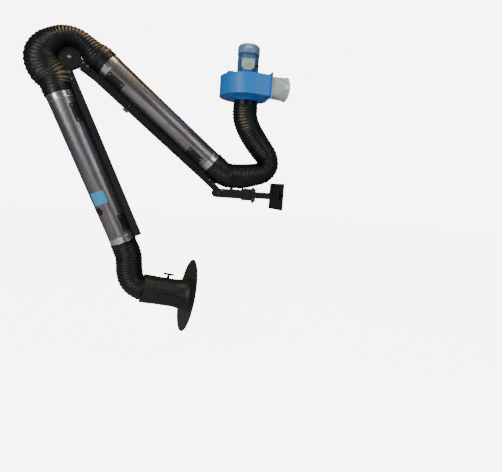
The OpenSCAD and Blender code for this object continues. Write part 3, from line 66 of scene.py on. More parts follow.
print("pieces from the CAD model:", len(nodes))

# %% [markdown]
# ## Places on the arm
# Everything on the arm is placed by how far along a profile it lies and how far it stands off it.
# The hinges come from the joints, so each arm has a frame: an origin, a direction along it, and a
# direction off it towards the tube.

# %% Frames of the two arms and the hood
shoulder = Vector(joints["shoulder"]["pos_m"])
elbow = Vector(joints["elbow"]["pos_m"])
hood_pivot = Vector(joints["hood_tilt"]["pos_m"])
inner_u = (elbow - shoulder).normalized()
outer_u = Vector(joints["hood_swivel"]["axis"])
hood_v = Vector(joints["hood_damper"]["axis"])
hood_u = Vector((hood_v.z, 0, -hood_v.x))


def off_direction(along):
    return Vector((along.z, 0, -along.x))


inner_v = off_direction(inner_u)
outer_v = off_direction(outer_u)
inner_tube_off = 137 * mm
outer_tube_off = 151 * mm


def inner_at(along, off=inner_tube_off, side=0.0):
    return shoulder + inner_u * along + inner_v * off + Vector((0, side, 0))


def outer_at(along, off=outer_tube_off, side=0.0):
    return elbow + outer_u * along + outer_v * off + Vector((0, side, 0))


def hood_at(along, up=0.0, side=0.0):
    return hood_pivot + hood_u * along + hood_v * up + Vector((0, side, 0))


print("inner arm", round((elbow - shoulder).length, 3), "m")
print("outer arm", round((hood_pivot - elbow).length, 3), "m")

# %% [markdown]
# ## The camera
# A photo of straight tubes, round discs and a square plate gives enough lines to work out where the
# camera stood. It was low and to the left, about three metres away, and held slightly askew.

# %% Camera at the photograph's place
camera_place = Vector((-1.25012, -2.97468, 0.0589))
camera_yaw = math.radians(-19.61)
camera_pitch = math.radians(-6.86)
camera_roll = math.radians(4.13)
photo_width = 502
focal_px = 403.56
sensor = 36.0

forward = Vector((-math.sin(camera_yaw) * math.cos(camera_pitch),
                  math.cos(camera_yaw) * math.cos(camera_pitch),
                  math.sin(camera_pitch)))
level_right = Vector((math.cos(camera_yaw), math.sin(camera_yaw), 0))
level_up = level_right.cross(forward)
camera_right = level_right * math.cos(camera_roll) + level_up * math.sin(camera_roll)
camera_up = level_up * math.cos(camera_roll) - level_right * math.sin(camera_roll)
camera_data = bpy.data.cameras.new("photo_camera")
camera_data.sensor_width = sensor
camera_data.lens = sensor * focal_px / photo_width
camera_data.clip_end = 60


def add_to_scene(name, data):
    made = bpy.data.objects.new(name, data)
    bpy.context.scene.collection.objects.link(made)
    return made


camera = add_to_scene("photo_camera", camera_data)
camera.matrix_world = Matrix.LocRotScale(
    camera_place, Matrix((camera_right, camera_up, -forward)).transposed(), None)
bpy.context.scene.camera = camera
print("lens", round(camera_data.lens, 2), "mm")

# %% [markdown]
# ## The room
# Bare metal shows its surroundings more than its own colour. In a bright room a steel tube turns
# white all over, so the room that the metal sees is kept dim. Behind the arm the camera sees pale
# paper that gives no light: only rays that come straight from the camera meet it.

# %% World
paper_strength = 7.0
room_strength = 0.10
world = bpy.data.worlds.new("studio")
bpy.context.scene.world = world
world.use_nodes = True
world_nodes = world.node_tree.nodes
world_links = world.node_tree.links
world_nodes.clear()
room = world_nodes.new("ShaderNodeBackground")
room.inputs["Color"].default_value = (0.78, 0.80, 0.84, 1)
room.inputs["Strength"].default_value = room_strength
paper = world_nodes.new("ShaderNodeBackground")
paper.inputs["Color"].default_value = (1, 1, 1, 1)
paper.inputs["Strength"].default_value = paper_strength
ray = world_nodes.new("ShaderNodeLightPath")
choose = world_nodes.new("ShaderNodeMixShader")
world_out = world_nodes.new("ShaderNodeOutputWorld")
world_links.new(ray.outputs["Is Camera Ray"], choose.inputs[0])
world_links.new(room.outputs[0], choose.inputs[1])
world_links.new(paper.outputs[0], choose.inputs[2])
world_links.new(choose.outputs[0], world_out.inputs[0])
print("paper", paper_strength, "and room", room_strength)

# %% [markdown]
# ## Soft lights
# Four soft lights draw the streaks on the steel and lift the dark parts: a tall one at the left for
# the outer tube, one at the right for the inner tube, a warm one above for the straw-coloured ribs,
# and a weak one low in front for the undersides. Large areas give the long, even streaks of a window.

# %% Lights


def soft_light(name, place, look_at, width, height, power, colour):
    light = bpy.data.lights.new(name, "AREA")
    light.shape = "RECTANGLE"
    light.size = width
    light.size_y = height
    light.energy = power
    light.color = colour
    lamp = add_to_scene(name, light)
    lamp.location = place
    lamp.rotation_euler = (Vector(look_at) - Vector(place)).to_track_quat("-Z", "Y").to_euler()
    print(name, power, "W")
    return lamp


soft_light("window_left", (-3.6, -2.6, 1.3), (-1.2, 0, 0), 0.7, 3.0, 62, (0.96, 0.98, 1.0))
soft_light("window_right", (1.2, -3.2, 1.9), (-0.7, 0, 0.3), 1.0, 2.2, 24, (0.92, 0.96, 1.0))
soft_light("warm_ceiling", (-0.6, -0.8, 3.4), (-1.2, 0, 0.6), 1.2, 1.2, 34, (1.0, 0.82, 0.55))
soft_light("low_fill", (-1.6, -3.4, -0.7), (-1.0, 0, -0.4), 1.8, 1.0, 7, (0.98, 0.98, 1.0))

# %% [markdown]
# ## The floor
# The floor is a sheet of the same paper. It glows for the camera alone, a touch less than the paper
# behind, so the arm stands on plain pale ground and the metal still sees a dim room.

# %% Paper floor
floor_height = -1.28
floor_reach = 14.0
floor_share = 0.96
floor_mesh = bpy.data.meshes.new("floor")
floor_mesh.from_pydata([(a * floor_reach, b * floor_reach, floor_height)
                        for a, b in ((-1, -1), (1, -1), (1, 1), (-1, 1))], [], [(0, 1, 2, 3)])
floor = add_to_scene("floor", floor_mesh)
floor_paper = bpy.data.materials.new("floor_paper")
floor_paper.use_nodes = True
paper_shader = floor_paper.node_tree.nodes["Principled BSDF"]
paper_shader.inputs["Base Color"].default_value = (0.80, 0.80, 0.80, 1)
paper_shader.inputs["Roughness"].default_value = 0.9
paper_glow = floor_paper.node_tree.nodes.new("ShaderNodeLightPath")
paper_scale = floor_paper.node_tree.nodes.new("ShaderNodeMath")
paper_scale.operation = "MULTIPLY"
paper_scale.inputs[1].default_value = floor_share * paper_strength
paper_shader.inputs["Emission Color"].default_value = (1, 1, 1, 1)
floor_paper.node_tree.links.new(paper_glow.outputs["Is Camera Ray"], paper_scale.inputs[0])
floor_paper.node_tree.links.new(paper_scale.outputs[0], paper_shader.inputs["Emission Strength"])
floor_mesh.materials.append(floor_paper)
print("floor at", floor_height, "m")

# %% [markdown]
# ## A helper for finishes
# Each finish is one Principled shader. What varies over the surface, such as streaks, dust and fine
# bumps, comes from noise in object space, so it stays on the piece when the arm moves.

# %% Finish helper


class Finish:
    """A material with a Principled shader and a few words for building its noise."""

    def __init__(self, name, colour, roughness, metallic=0.0, **sockets):
        self.material = bpy.data.materials.new(name)
        self.material.use_nodes = True
        self.tree = self.material.node_tree
        self.shader = self.tree.nodes["Principled BSDF"]
        self.shader.inputs["Base Color"].default_value = (*colour, 1)
        self.shader.inputs["Roughness"].default_value = roughness
        self.shader.inputs["Metallic"].default_value = metallic
        for socket, value in sockets.items():
            self.shader.inputs[socket.replace("_", " ")].default_value = value

    def add(self, kind, **values):
        made = self.tree.nodes.new(kind)
        for key, value in values.items():
            setattr(made, key, value)
        return made

    def join(self, source, target):
        self.tree.links.new(source, target)

    def space(self, turn=0.0, stretch=(1, 1, 1)):
        """Object space, turned about Y and stretched."""
        where = self.add("ShaderNodeTexCoord")
        mapping = self.add("ShaderNodeMapping")
        mapping.inputs["Rotation"].default_value = (0, turn, 0)
        self.join(where.outputs["Object"], mapping.inputs["Vector"])
        if stretch == (1, 1, 1):
            return mapping.outputs["Vector"]
        stretched = self.add("ShaderNodeMapping")
        stretched.inputs["Scale"].default_value = stretch
        self.join(mapping.outputs["Vector"], stretched.inputs["Vector"])
        return stretched.outputs["Vector"]

    def noise(self, space, scale, detail=4.0, rough=0.55):
        made = self.add("ShaderNodeTexNoise")
        made.inputs["Scale"].default_value = scale
        made.inputs["Detail"].default_value = detail
        made.inputs["Roughness"].default_value = rough
        self.join(space, made.inputs["Vector"])
        return made.outputs["Fac"]

    def ramp(self, value, stops):
        made = self.add("ShaderNodeValToRGB")
        bar = made.color_ramp
        while len(bar.elements) < len(stops):
            bar.elements.new(0.5)
        for element, (at, colour) in zip(bar.elements, stops):
            element.position = at
            element.color = (*colour, 1) if len(colour) == 3 else colour
        self.join(value, made.inputs["Fac"])
        return made.outputs["Color"]

    def rough_between(self, value, low, high):
        made = self.add("ShaderNodeMapRange")
        made.inputs["To Min"].default_value = low
        made.inputs["To Max"].default_value = high
        self.join(value, made.inputs["Value"])
        self.join(made.outputs["Result"], self.shader.inputs["Roughness"])

    def bumps(self, value, height, strength=1.0):
        made = self.add("ShaderNodeBump")
        made.inputs["Distance"].default_value = height
        made.inputs["Strength"].default_value = strength
        self.join(value, made.inputs["Height"])
        self.join(made.outputs["Normal"], self.shader.inputs["Normal"])

    def colour(self, value):
        self.join(value, self.shader.inputs["Base Color"])


def tint(colour, share):
    return tuple(min(1.0, part * share) for part in colour)


def turn_to(direction):
    """The turn about Y that lays a direction in the arm's plane along X."""
    return math.atan2(direction.z, direction.x)


# %% [markdown]
# ## Painted steel
# The brackets and profiles look powder-coated: nearly black, with a fine orange peel that breaks up
# the highlights, and slightly duller patches where hands and dust have been.

# %% Painted finishes


def painted(name, colour, gloss=0.34, peel=0.00012, patch=0.12):
    finish = Finish(name, colour, gloss)
    space = finish.space()
    broad = finish.noise(space, 5.0, 5.0)
    finish.colour(finish.ramp(broad, [(0.3, tint(colour, 1 - patch)), (0.7, tint(colour, 1 + patch))]))
    finish.rough_between(broad, gloss - 0.07, gloss + 0.10)
    finish.bumps(finish.noise(space, 620.0, 2.0), peel, 0.6)
    return finish.material


black_paint = painted("black_powder_coat", (0.010, 0.0105, 0.014), 0.40)
bracket_paint = painted("bracket_powder_coat", (0.011, 0.0112, 0.013), 0.38)
plate_paint = painted("plate_powder_coat", (0.021, 0.021, 0.027), 0.42)
fan_paint = painted("sky_blue_enamel", (0.038, 0.315, 1.0), 0.40, patch=0.05)
lug_paint = painted("dark_blue_enamel", (0.014, 0.085, 0.32), 0.36, patch=0.06)
motor_paint = painted("motor_enamel", (0.14, 0.28, 0.46), 0.38, patch=0.08)
cowl_paint = painted("cowl_enamel", (0.17, 0.36, 0.66), 0.34, patch=0.08)
box_paint = painted("terminal_box_enamel", (0.52, 0.76, 0.84), 0.40, patch=0.06)
spring_paint = painted("spring_lacquer", (0.012, 0.012, 0.013), 0.22)
connector_paint = painted("connector_paint", (0.012, 0.0125, 0.014), 0.42)
print("materials with the painted ones:", len(bpy.data.materials))

# %% [markdown]
# ## Rolled steel tubes
# Such tubes are rolled from sheet and left bare. Rolling leaves fine lines along them, and heat, oil
# and handling leave brown and bluish bands. Stretching the noise along the tube's own direction
# gives both, and a faint anisotropy spreads the highlight across the grain.

# %% Tube steel


def rolled_steel(name, direction, tones, gloss=0.34, spread=0.35):
    finish = Finish(name, tones[1], gloss, metallic=1.0, Anisotropic=spread)
    turn = turn_to(direction)
    bands = finish.noise(finish.space(turn, (1.1, 9.0, 9.0)), 1.6, 3.0, 0.6)
    grain = finish.noise(finish.space(turn, (3.0, 260.0, 260.0)), 1.0, 3.0, 0.5)
    stains = finish.noise(finish.space(turn, (1.0, 1.6, 1.6)), 9.0, 6.0, 0.7)
    colour = finish.ramp(bands, [(0.34, tones[0]), (0.5, tones[1]), (0.66, tones[2])])
    dull = finish.add("ShaderNodeMixRGB", blend_type="MULTIPLY")
    dull.inputs[0].default_value = 0.5
    finish.join(colour, dull.inputs[1])
    finish.join(finish.ramp(stains, [(0.30, (0.62, 0.56, 0.52)), (0.50, (1, 1, 1))]), dull.inputs[2])
    finish.colour(dull.outputs[0])
    finish.rough_between(stains, gloss + 0.12, gloss - 0.08)
    finish.bumps(grain, 0.00006, 0.5)
    return finish.material


tube_tones = ((0.25, 0.205, 0.19), (0.34, 0.325, 0.325), (0.27, 0.335, 0.44))
inner_steel = rolled_steel("inner_tube_steel", inner_u, tube_tones)
outer_steel = rolled_steel("outer_tube_steel", outer_u, tube_tones)
print("grain of the outer tube turned by", round(math.degrees(turn_to(outer_u)), 1), "degrees")

# %% [markdown]
# ## Small metal parts
# Collars, pins, bolts, straps and castings are plain metals: one tone that clouds a little, with more
# or less gloss and a fine grain. They differ in a few numbers, so one helper makes them all.

# %% Plain metals


def plain_metal(name, colour, gloss, grain_scale=300.0, grain_height=0.00004):
    finish = Finish(name, colour, gloss, metallic=1.0)
    space = finish.space()
    cloud = finish.noise(space, 22.0, 5.0)
    finish.colour(finish.ramp(cloud, [(0.3, tint(colour, 0.82)), (0.7, tint(colour, 1.1))]))
    finish.rough_between(cloud, gloss - 0.06, gloss + 0.10)
    finish.bumps(finish.noise(space, grain_scale, 2.0), grain_height, 0.5)
    return finish.material


collar_steel = plain_metal("beaded_collar_steel", (0.74, 0.68, 0.68), 0.24)
zinc = plain_metal("zinc_plate", (0.72, 0.72, 0.70), 0.24)
dull_zinc = plain_metal("handled_zinc", (0.30, 0.30, 0.30), 0.36)
pin_steel = plain_metal("oiled_pin_steel", (0.10, 0.10, 0.105), 0.42)
strap_steel = plain_metal("strap_steel", (0.050, 0.050, 0.055), 0.40)
link_steel = plain_metal("turned_steel", (0.42, 0.42, 0.43), 0.30)
damper_sheet = plain_metal("damper_sheet", (0.40, 0.41, 0.42), 0.38)
cast_aluminium = plain_metal("cast_aluminium", (0.55, 0.57, 0.60), 0.42, 140.0, 0.0002)
rod_chrome = plain_metal("rod_chrome", (0.80, 0.80, 0.82), 0.10)
print("materials with the plain metals:", len(bpy.data.materials))

# %% [markdown]
# ## Galvanised sheet
# Zinc freezes on sheet steel in flat crystals that each reflect a little differently, and it scatters
# more than it mirrors. Voronoi cells give each crystal its own tone and gloss, and a low metallic
# value gives the scatter.

# %% Galvanised finish


def spangled_zinc(name, colour, gloss):
    finish = Finish(name, colour, gloss, metallic=0.25)
    crystals = finish.add("ShaderNodeTexVoronoi")
    crystals.inputs["Scale"].default_value = 260.0
    finish.join(finish.space(), crystals.inputs["Vector"])
    tones = [(0.2, tint(colour, 0.90)), (0.8, tint(colour, 1.08))]
    finish.colour(finish.ramp(crystals.outputs["Color"], tones))
    finish.rough_between(crystals.outputs["Color"], gloss - 0.08, gloss + 0.14)
    return finish.material


outlet_zinc = spangled_zinc("galvanised_outlet", (0.86, 0.97, 1.0), 0.30)
print("zinc crystals on", outlet_zinc.name)

# %% [markdown]
# ## Plastics and rubber
# The hood and its disc look like a dark moulded plastic with a slight grain, and the small parts that
# insulate, seal or slide are taken to be plastic or rubber as well. Soft noise clouds their tone and
# gloss, and fine noise is the grain.
# The enamel and the film of the blank plates are even too, so the same helper makes them.

# %% Plastic and rubber finishes


def moulded(name, colour, gloss, grain=0.00010, patch=0.16):
    finish = Finish(name, colour, gloss)
    space = finish.space()
    cloud = finish.noise(space, 7.0, 6.0, 0.6)
    finish.colour(finish.ramp(cloud, [(0.3, tint(colour, 1 - patch)), (0.72, tint(colour, 1 + patch))]))
    finish.rough_between(cloud, gloss - 0.06, gloss + 0.12)
    finish.bumps(finish.noise(space, 900.0, 3.0), grain, 0.5)
    return finish.material


hood_plastic = moulded("hood_plastic", (0.016, 0.018, 0.016), 0.40)
disc_plastic = moulded("disc_plastic", (0.024, 0.026, 0.021), 0.46)
handle_plastic = moulded("handle_plastic", (0.014, 0.014, 0.015), 0.36)
bush_plastic = moulded("bush_plastic", (0.52, 0.48, 0.38), 0.45)
lining = moulded("friction_lining", (0.10, 0.07, 0.05), 0.80)
plug_rubber = moulded("plug_rubber", (0.010, 0.010, 0.011), 0.42)
gland_plastic = moulded("gland_plastic", (0.012, 0.012, 0.013), 0.40)
cooling_plastic = moulded("cooling_fan_plastic", (0.03, 0.03, 0.034), 0.50)
plate_enamel = moulded("blank_plate_enamel", (0.66, 0.78, 0.16), 0.38, patch=0.05)
badge_metal = moulded("blank_badge_enamel", (0.70, 0.73, 0.76), 0.30, patch=0.05)
label_film = moulded("blank_label_film", (0.06, 0.52, 1.0), 0.42, patch=0.04)
print("materials with the plastics:", len(bpy.data.materials))

# %% [markdown]
# ## Hose cloth
# Such hoses are PVC-coated cloth over a steel wire: almost black, and smooth enough to flash wherever a
# wrinkle faces a light. Their crests get a straw colour: dust where they face up, and a painted warm
# highlight where they face other given directions. How much each point gets comes from an attribute of the
# mesh, because only the mesh knows where its crests are.

# %% Hose finish


def hose_cloth(name):
    colour = (0.0060, 0.0066, 0.0105)
    # The straw colour is dust on crests that face up and a painted warm highlight on crests facing other
    # ways.
    dust_and_sheen = (0.46, 0.34, 0.17)
    finish = Finish(name, colour, 0.30, Specular_IOR_Level=0.5)
    space = finish.space()
    cloud = finish.noise(space, 16.0, 6.0, 0.65)
    dust_and_sheen_marks = finish.add("ShaderNodeAttribute", attribute_name="dust_and_sheen")
    mix = finish.add("ShaderNodeMixRGB", blend_type="MIX")
    finish.join(dust_and_sheen_marks.outputs["Fac"], mix.inputs[0])
    finish.join(finish.ramp(cloud, [(0.3, tint(colour, 0.8)), (0.7, tint(colour, 1.5))]), mix.inputs[1])
    mix.inputs[2].default_value = (*dust_and_sheen, 1)
    finish.colour(mix.outputs[0])
    finish.rough_between(cloud, 0.24, 0.46)
    finish.bumps(finish.noise(space, 105.0, 5.0, 0.7), 0.0020, 0.60)
    return finish.material


hose_finish = hose_cloth("hose_pvc_cloth")
print("all materials:", len(bpy.data.materials))

# %% [markdown]
# ## Dressing the rigid pieces
# Each CAD piece already has the right shape, so it only needs its finish and, where sheet or plate
# would catch light on its edges, a small bevel. The model's faces arrive with corners of their own,
# so a weld modifier joins them first. The bevel then rounds the edges, and weighted normals let the
# large faces keep their flat look while a curved wall made of strips shades as one curve. Modifiers
# leave the solid as it is.

# %% Finishes for the CAD pieces
dressing = {
    black_paint: ["inner_profile", "outer_profile"],
    plate_paint: ["wall_plate", "wall_beam", "swivel_bracket"],
    bracket_paint: ["shoulder_cheeks", "elbow_cheeks", "inner_saddles", "outer_saddles", "outer_tongues"],
    bush_plastic: ["knuckle_bushes"],
    dull_zinc: ["inner_bolts", "outer_bolts"],
    zinc: ["tilt_pin", "outlet_bolts", "motor_bolts", "damper_spindle"],
    pin_steel: ["pivot_bolt", "hinge_pins"],
    strap_steel: ["friction_leaf", "connector_clamps", "inner_clamps", "outer_clamps"],
    connector_paint: ["connector_sleeve"],
    inner_steel: ["inner_tube"],
    outer_steel: ["outer_tube"],
    collar_steel: ["inner_collars", "outer_collars"],
    lining: ["shoulder_discs", "elbow_discs"],
    link_steel: ["spring_anchor", "hood_spider", "hood_link", "hood_yoke", "motor_bearings", "rotor_shaft"],
    spring_paint: ["spring_cylinder"],
    rod_chrome: ["spring_rod"],
    plug_rubber: ["tube_plug"],
    hood_plastic: ["hood_neck", "hood_body"],
    disc_plastic: ["hood_disc"],
    damper_sheet: ["damper_disc"],
    handle_plastic: ["t_handle"],
    fan_paint: ["fan_scroll", "fan_backplate", "fan_inlet"],
    lug_paint: ["hanging_lugs"],
    outlet_zinc: ["outlet_transition"],
    motor_paint: ["motor_body"],
    cowl_paint: ["motor_cowl"],
    box_paint: ["terminal_box"],
    gland_plastic: ["cable_gland"],
    cast_aluminium: ["impeller"],
    cooling_plastic: ["cooling_fan"],
}
edge_radius = {
    "wall_plate": 1.2, "wall_beam": 2.0, "swivel_bracket": 2.0, "inner_profile": 1.0,
    "outer_profile": 1.0, "shoulder_cheeks": 0.8, "elbow_cheeks": 0.8, "hanging_lugs": 1.2,
    "terminal_box": 2.0, "fan_scroll": 0.8, "fan_backplate": 0.6, "fan_inlet": 0.6,
    "damper_disc": 0.5, "t_handle": 1.0, "elbow_discs": 0.5, "shoulder_discs": 0.5,
}
weld_reach = 0.005 * mm
sharp_edge = math.radians(40)


def dress(name, material):
    piece = nodes[name]
    if not piece.material_slots:
        piece.data.materials.append(material)
    for slot in piece.material_slots:
        slot.material = material
    if name in edge_radius:
        weld = piece.modifiers.new("joined_corners", "WELD")
        weld.merge_threshold = weld_reach
        bevel = piece.modifiers.new("rounded_edges", "BEVEL")
        bevel.width = edge_radius[name] * mm
        bevel.segments = 2
        bevel.limit_method = "ANGLE"
        bevel.angle_limit = sharp_edge
        bevel.harden_normals = False
        piece.modifiers.new("even_shading", "WEIGHTED_NORMAL")


for material, names in dressing.items():
    for name in names:
        dress(name, material)
print("dressed", sum(len(names) for names in dressing.values()), "pieces")
print("rounded the edges of", len(edge_radius))

# %% [markdown]
# ## How a ribbed hose is made
# A suction hose is a long spring of wire inside a sleeve of coated cloth. Between two turns of wire
# the cloth hangs in a shallow trough, so a lengthwise cut shows narrow crests and wide valleys, and
# the crests climb round the hose as a helix. The mesh follows that: rings square to the hose's route,
# with a radius that depends on how far along and how far round a point lies.

# %% Route helpers
tube_radius = 85 * mm
hose_room = 0.3 * mm
valley_radius = 90.2 * mm
crest_rise = 4.0 * mm
spigot = 28 * mm
hose_sides = 60
rings_per_rib = 10
print("crests stand", round(crest_rise / mm, 1), "mm above the valleys")


def chordal(points, steps=24):
    """A smooth curve through points (x, z, flatness), with the ends run straight on."""
    points = np.array(points)
    padded = np.vstack([2 * points[0] - points[1], points, 2 * points[-1] - points[-2]])
    gaps = np.linalg.norm(np.diff(padded[:, :2], axis=0), axis=1)
    curve = []
    for i in range(1, len(padded) - 2):
        a, b, c, d = padded[i - 1:i + 3]
        before, here, after = gaps[i - 1:i + 2]
        leave = here * ((b - a) / before - (c - a) / (before + here)) + (c - b)
        arrive = here * ((d - c) / after - (d - b) / (here + after)) + (c - b)
        for t in np.arange(steps) / steps:
            curve.append((2 * t**3 - 3 * t**2 + 1) * b + (t**3 - 2 * t**2 + t) * leave
                         + (3 * t**2 - 2 * t**3) * c + (t**3 - t**2) * arrive)
    curve.append(points[-1])
    return np.array(curve)


def flat_point(place, flatness=1.0):
    return (place.x, place.z, flatness)


def straight(place, direction, length=spigot):
    """The plain stretch of a hose on a tube's end."""
    return [flat_point(place + direction * (share * length)) for share in (0, 0.5, 1, 1.3)]


def backwards(points):
    return list(reversed(points))


# %% [markdown]
# ## Rings, crests and crumples
# Small helpers serve the hose: one reads the route's direction, one adds the uneven crumples of
# loose cloth, and one joins rings of points into faces. The crumples are a sum of sine waves from a
# seeded generator, so they are the same each time.

# %% Hose helpers
direction_reach = 0.004
crumple_depth = 1.5 * mm
crumple_waves = 6


def ease(value):
    value = np.clip(value, 0, 1)
    return value * value * (3 - 2 * value)


def route_direction(at, curve, lengths):
    """The route's direction at each place, read from points a little ahead and behind."""
    total = lengths[-1]
    nudge = direction_reach * total
    ahead = np.clip(at + nudge, 0, total)
    behind = np.clip(at - nudge, 0, total)
    along = np.stack([np.interp(ahead, lengths, curve[:, k]) - np.interp(behind, lengths, curve[:, k])
                      for k in range(2)])
    return along / np.linalg.norm(along, axis=0)


def crumples(at, turns, pitch, seed):
    """Uneven waves round and along the hose, between -1 and 1."""
    noise = np.random.default_rng(seed)
    total = np.zeros((at.size, turns.size))
    for _ in range(crumple_waves):
        waves = noise.integers(4, 17)
        shift = noise.uniform(0, 6.28)
        climb = noise.uniform(1.5, 4.8)
        total += np.sin(waves * turns[None, :] + shift + at[:, None] / pitch * climb) / crumple_waves
    return total


def ring_faces(rings, sides, closed=False):
    """Quads between rings of points. A closed row of rings ends where it starts."""
    faces = []
    for i in range(rings if closed else rings - 1):
        j = (i + 1) % rings
        for k in range(sides):
            m = (k + 1) % sides
            faces.append((i * sides + k, j * sides + k, j * sides + m, i * sides + m))
    return faces


# %% [markdown]
# ## Dust and painted highlights on the hose
# Some crests are dusty, and on some a warm highlight is painted into their colour. Each such place is a
# stretch of the hose, the direction that its crests face and a strength, and it fades out softly on all
# sides.

# %% Dust and painted highlights on the crests
stretch_edge = 0.05
facing_edge = 0.6
dust_and_sheen_power = 0.6


def mark_dust_and_sheen(mesh, share_along, crests, dust_and_sheen_marks):
    """Marks dusty crests and crests with a painted warm highlight. Each place is a start and a stop along
    the hose, the direction that the crests face, a spread in degrees and a strength."""
    normals = np.empty(len(mesh.vertices) * 3)
    mesh.vertex_normals.foreach_get("vector", normals)
    normals = normals.reshape(-1, 3)[:share_along.size]
    dust_and_sheen_level = np.zeros(share_along.size)
    # Crests that face each given direction get the straw colour: dust on some, a painted warm highlight on
    # others.
    for start, stop, direction, spread, strength in dust_and_sheen_marks:
        level = math.cos(math.radians(spread))
        toward = normals @ np.array(Vector(direction).normalized())
        facing = ease((toward - level) / (facing_edge * (1 - level)))
        reach = ease((share_along - start) / stretch_edge) * ease((stop - share_along) / stretch_edge)
        dust_and_sheen_level = np.maximum(dust_and_sheen_level, strength * facing * reach)
    values = np.zeros(len(mesh.vertices), dtype=np.float32)
    values[:share_along.size] = dust_and_sheen_level * crests**dust_and_sheen_power
    mesh.attributes.new("dust_and_sheen", "FLOAT", "POINT").data.foreach_set("value", values)


# %% [markdown]
# ## The hose mesh
# The hose is plain where it is pushed over a tube, and its ribs rise and fade over part of a turn.
# Where the route squeezes it flat it widens sideways, as a real sleeve does. A last ring at each open
# end narrows to the tube, so that no gap shows.

# %% Hose mesh
crest_sharpness = 1.9
fade_turns = 0.7


def lip_ring(x, z, along, flat, turns):
    """The ring where a hose's end meets the tube."""
    lip = tube_radius + hose_room
    wide = np.sqrt(2 - flat**2)
    points = []
    for turn in turns:
        off = lip * flat * math.cos(turn)
        points.append((x - along[1] * off, lip * wide * math.sin(turn), z + along[0] * off))
    return points


def hose(name, route, ribs, plain=(spigot, spigot), part=(0.0, 1.0), dust_and_sheen_marks=(), seed=1):
    """A ribbed hose on a route. part is the stretch to make; the marks give its dust and painted
    highlights.
    """
    curve = chordal(route)
    lengths = np.concatenate([[0], np.cumsum(np.linalg.norm(np.diff(curve[:, :2], axis=0), axis=1))])
    total = lengths[-1]
    pitch = (total - sum(plain)) / ribs
    start, stop = part[0] * total, part[1] * total
    count = int((stop - start) / pitch * rings_per_rib) + 1
    at = np.linspace(start, stop, count)
    x, z, flat = (np.interp(at, lengths, curve[:, k]) for k in range(3))
    along = route_direction(at, curve, lengths)
    turns = np.arange(hose_sides) * 2 * math.pi / hose_sides
    phase = (at[:, None] - plain[0]) / pitch - turns[None, :] / (2 * math.pi)
    crest = (0.5 + 0.5 * np.cos(2 * math.pi * phase)) ** crest_sharpness
    rise_over = fade_turns * pitch
    fade = ease((at - plain[0]) / rise_over) * ease((total - plain[1] - at) / rise_over)
    crumple = crumples(at, turns, pitch, seed)
    radius = valley_radius + fade[:, None] * (crest_rise * crest + crumple_depth * crumple * (1 - crest))
    side = radius * flat[:, None] * np.cos(turns)
    points = np.stack([x[:, None] - along[1][:, None] * side,
                       radius * np.sqrt(2 - flat**2)[:, None] * np.sin(turns),
                       z[:, None] + along[0][:, None] * side], axis=2).reshape(-1, 3)
    vertices = [tuple(p) for p in points]
    faces = ring_faces(count, hose_sides)
    for ring, has_lip in ((0, part[0] == 0), (count - 1, part[1] == 1)):
        if not has_lip:
            continue
        first = len(vertices)
        vertices += lip_ring(x[ring], z[ring], along[:, ring], flat[ring], turns)
        for k in range(hose_sides):
            m = (k + 1) % hose_sides
            quad = (ring * hose_sides + k, ring * hose_sides + m, first + m, first + k)
            faces.append(quad if ring == 0 else quad[::-1])
    mesh = bpy.data.meshes.new(name)
    mesh.from_pydata(vertices, [], faces)
    mesh.update()
    mesh.shade_smooth()
    # The straw colour goes onto the crests here: dust on some, a painted warm highlight on others.
    mark_dust_and_sheen(mesh, np.repeat(at / total, hose_sides), (fade[:, None] * crest).reshape(-1), dust_and_sheen_marks)
    mesh.materials.append(hose_finish)
    made = add_to_scene(name, mesh)
    print(name, ribs, "ribs,", round(pitch / mm, 1), "mm apart, on", round(total, 3), "m")
    return made


# %% [markdown]
# ## The fan hose
# The fan stands still while the arm swings below it, so this hose hangs in a loose double bend: down
# from the housing, back towards the wall, and round into the connector on the swivel bracket.

# %% Fan hose
inlet_low, inlet_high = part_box("fan_inlet")
sleeve_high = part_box("connector_sleeve")[1]
connector_spigot = 12 * mm
ring_half = 8 * mm
connector_up = 134 * mm
connector_x = sleeve_high.x - spigot - ring_half
fan_x = (inlet_low.x + inlet_high.x) / 2
fan_hose_top = inlet_low.z + spigot
fan_hose_bow = 211 * mm
fan_hose_shares = [(0.04, 0.77, 1), (0.21, 0.635, 1), (0.45, 0.51, 1), (0.71, 0.395, 0.97),
                   (0.95, 0.285, 0.9), (1, 0.17, 0.88), (0.81, 0.075, 0.88), (0.5, 0.04, 0.92),
                   (0.2, 0.015, 0.97)]
fan_route = (
    straight(Vector((fan_x, 0, fan_hose_top)), Vector((0, 0, -1)))
    + [(fan_x + bow * fan_hose_bow, connector_up + rise * (fan_hose_top - connector_up), flatness)
       for bow, rise, flatness in fan_hose_shares]
    + backwards(straight(Vector((connector_x + ring_half, 0, connector_up)), Vector((1, 0, 0)))))
# The first mark is a painted warm highlight on crests facing front left; the second is faint dust.
fan_hose = hose("fan_hose_cloth", fan_route, 42, seed=3, dust_and_sheen_marks=[
    (0.03, 0.27, (-0.45, -0.89, 0.0), 28, 0.8), (0.30, 0.62, (-0.1, -0.8, 0.6), 34, 0.12)])
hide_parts("fan_hose")
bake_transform(fan_hose)

# %% [markdown]
# ## The shoulder hose
# Between the connector and the inner tube there is room for one short bend, an arc that leaves the
# connector level and meets the tube's line.

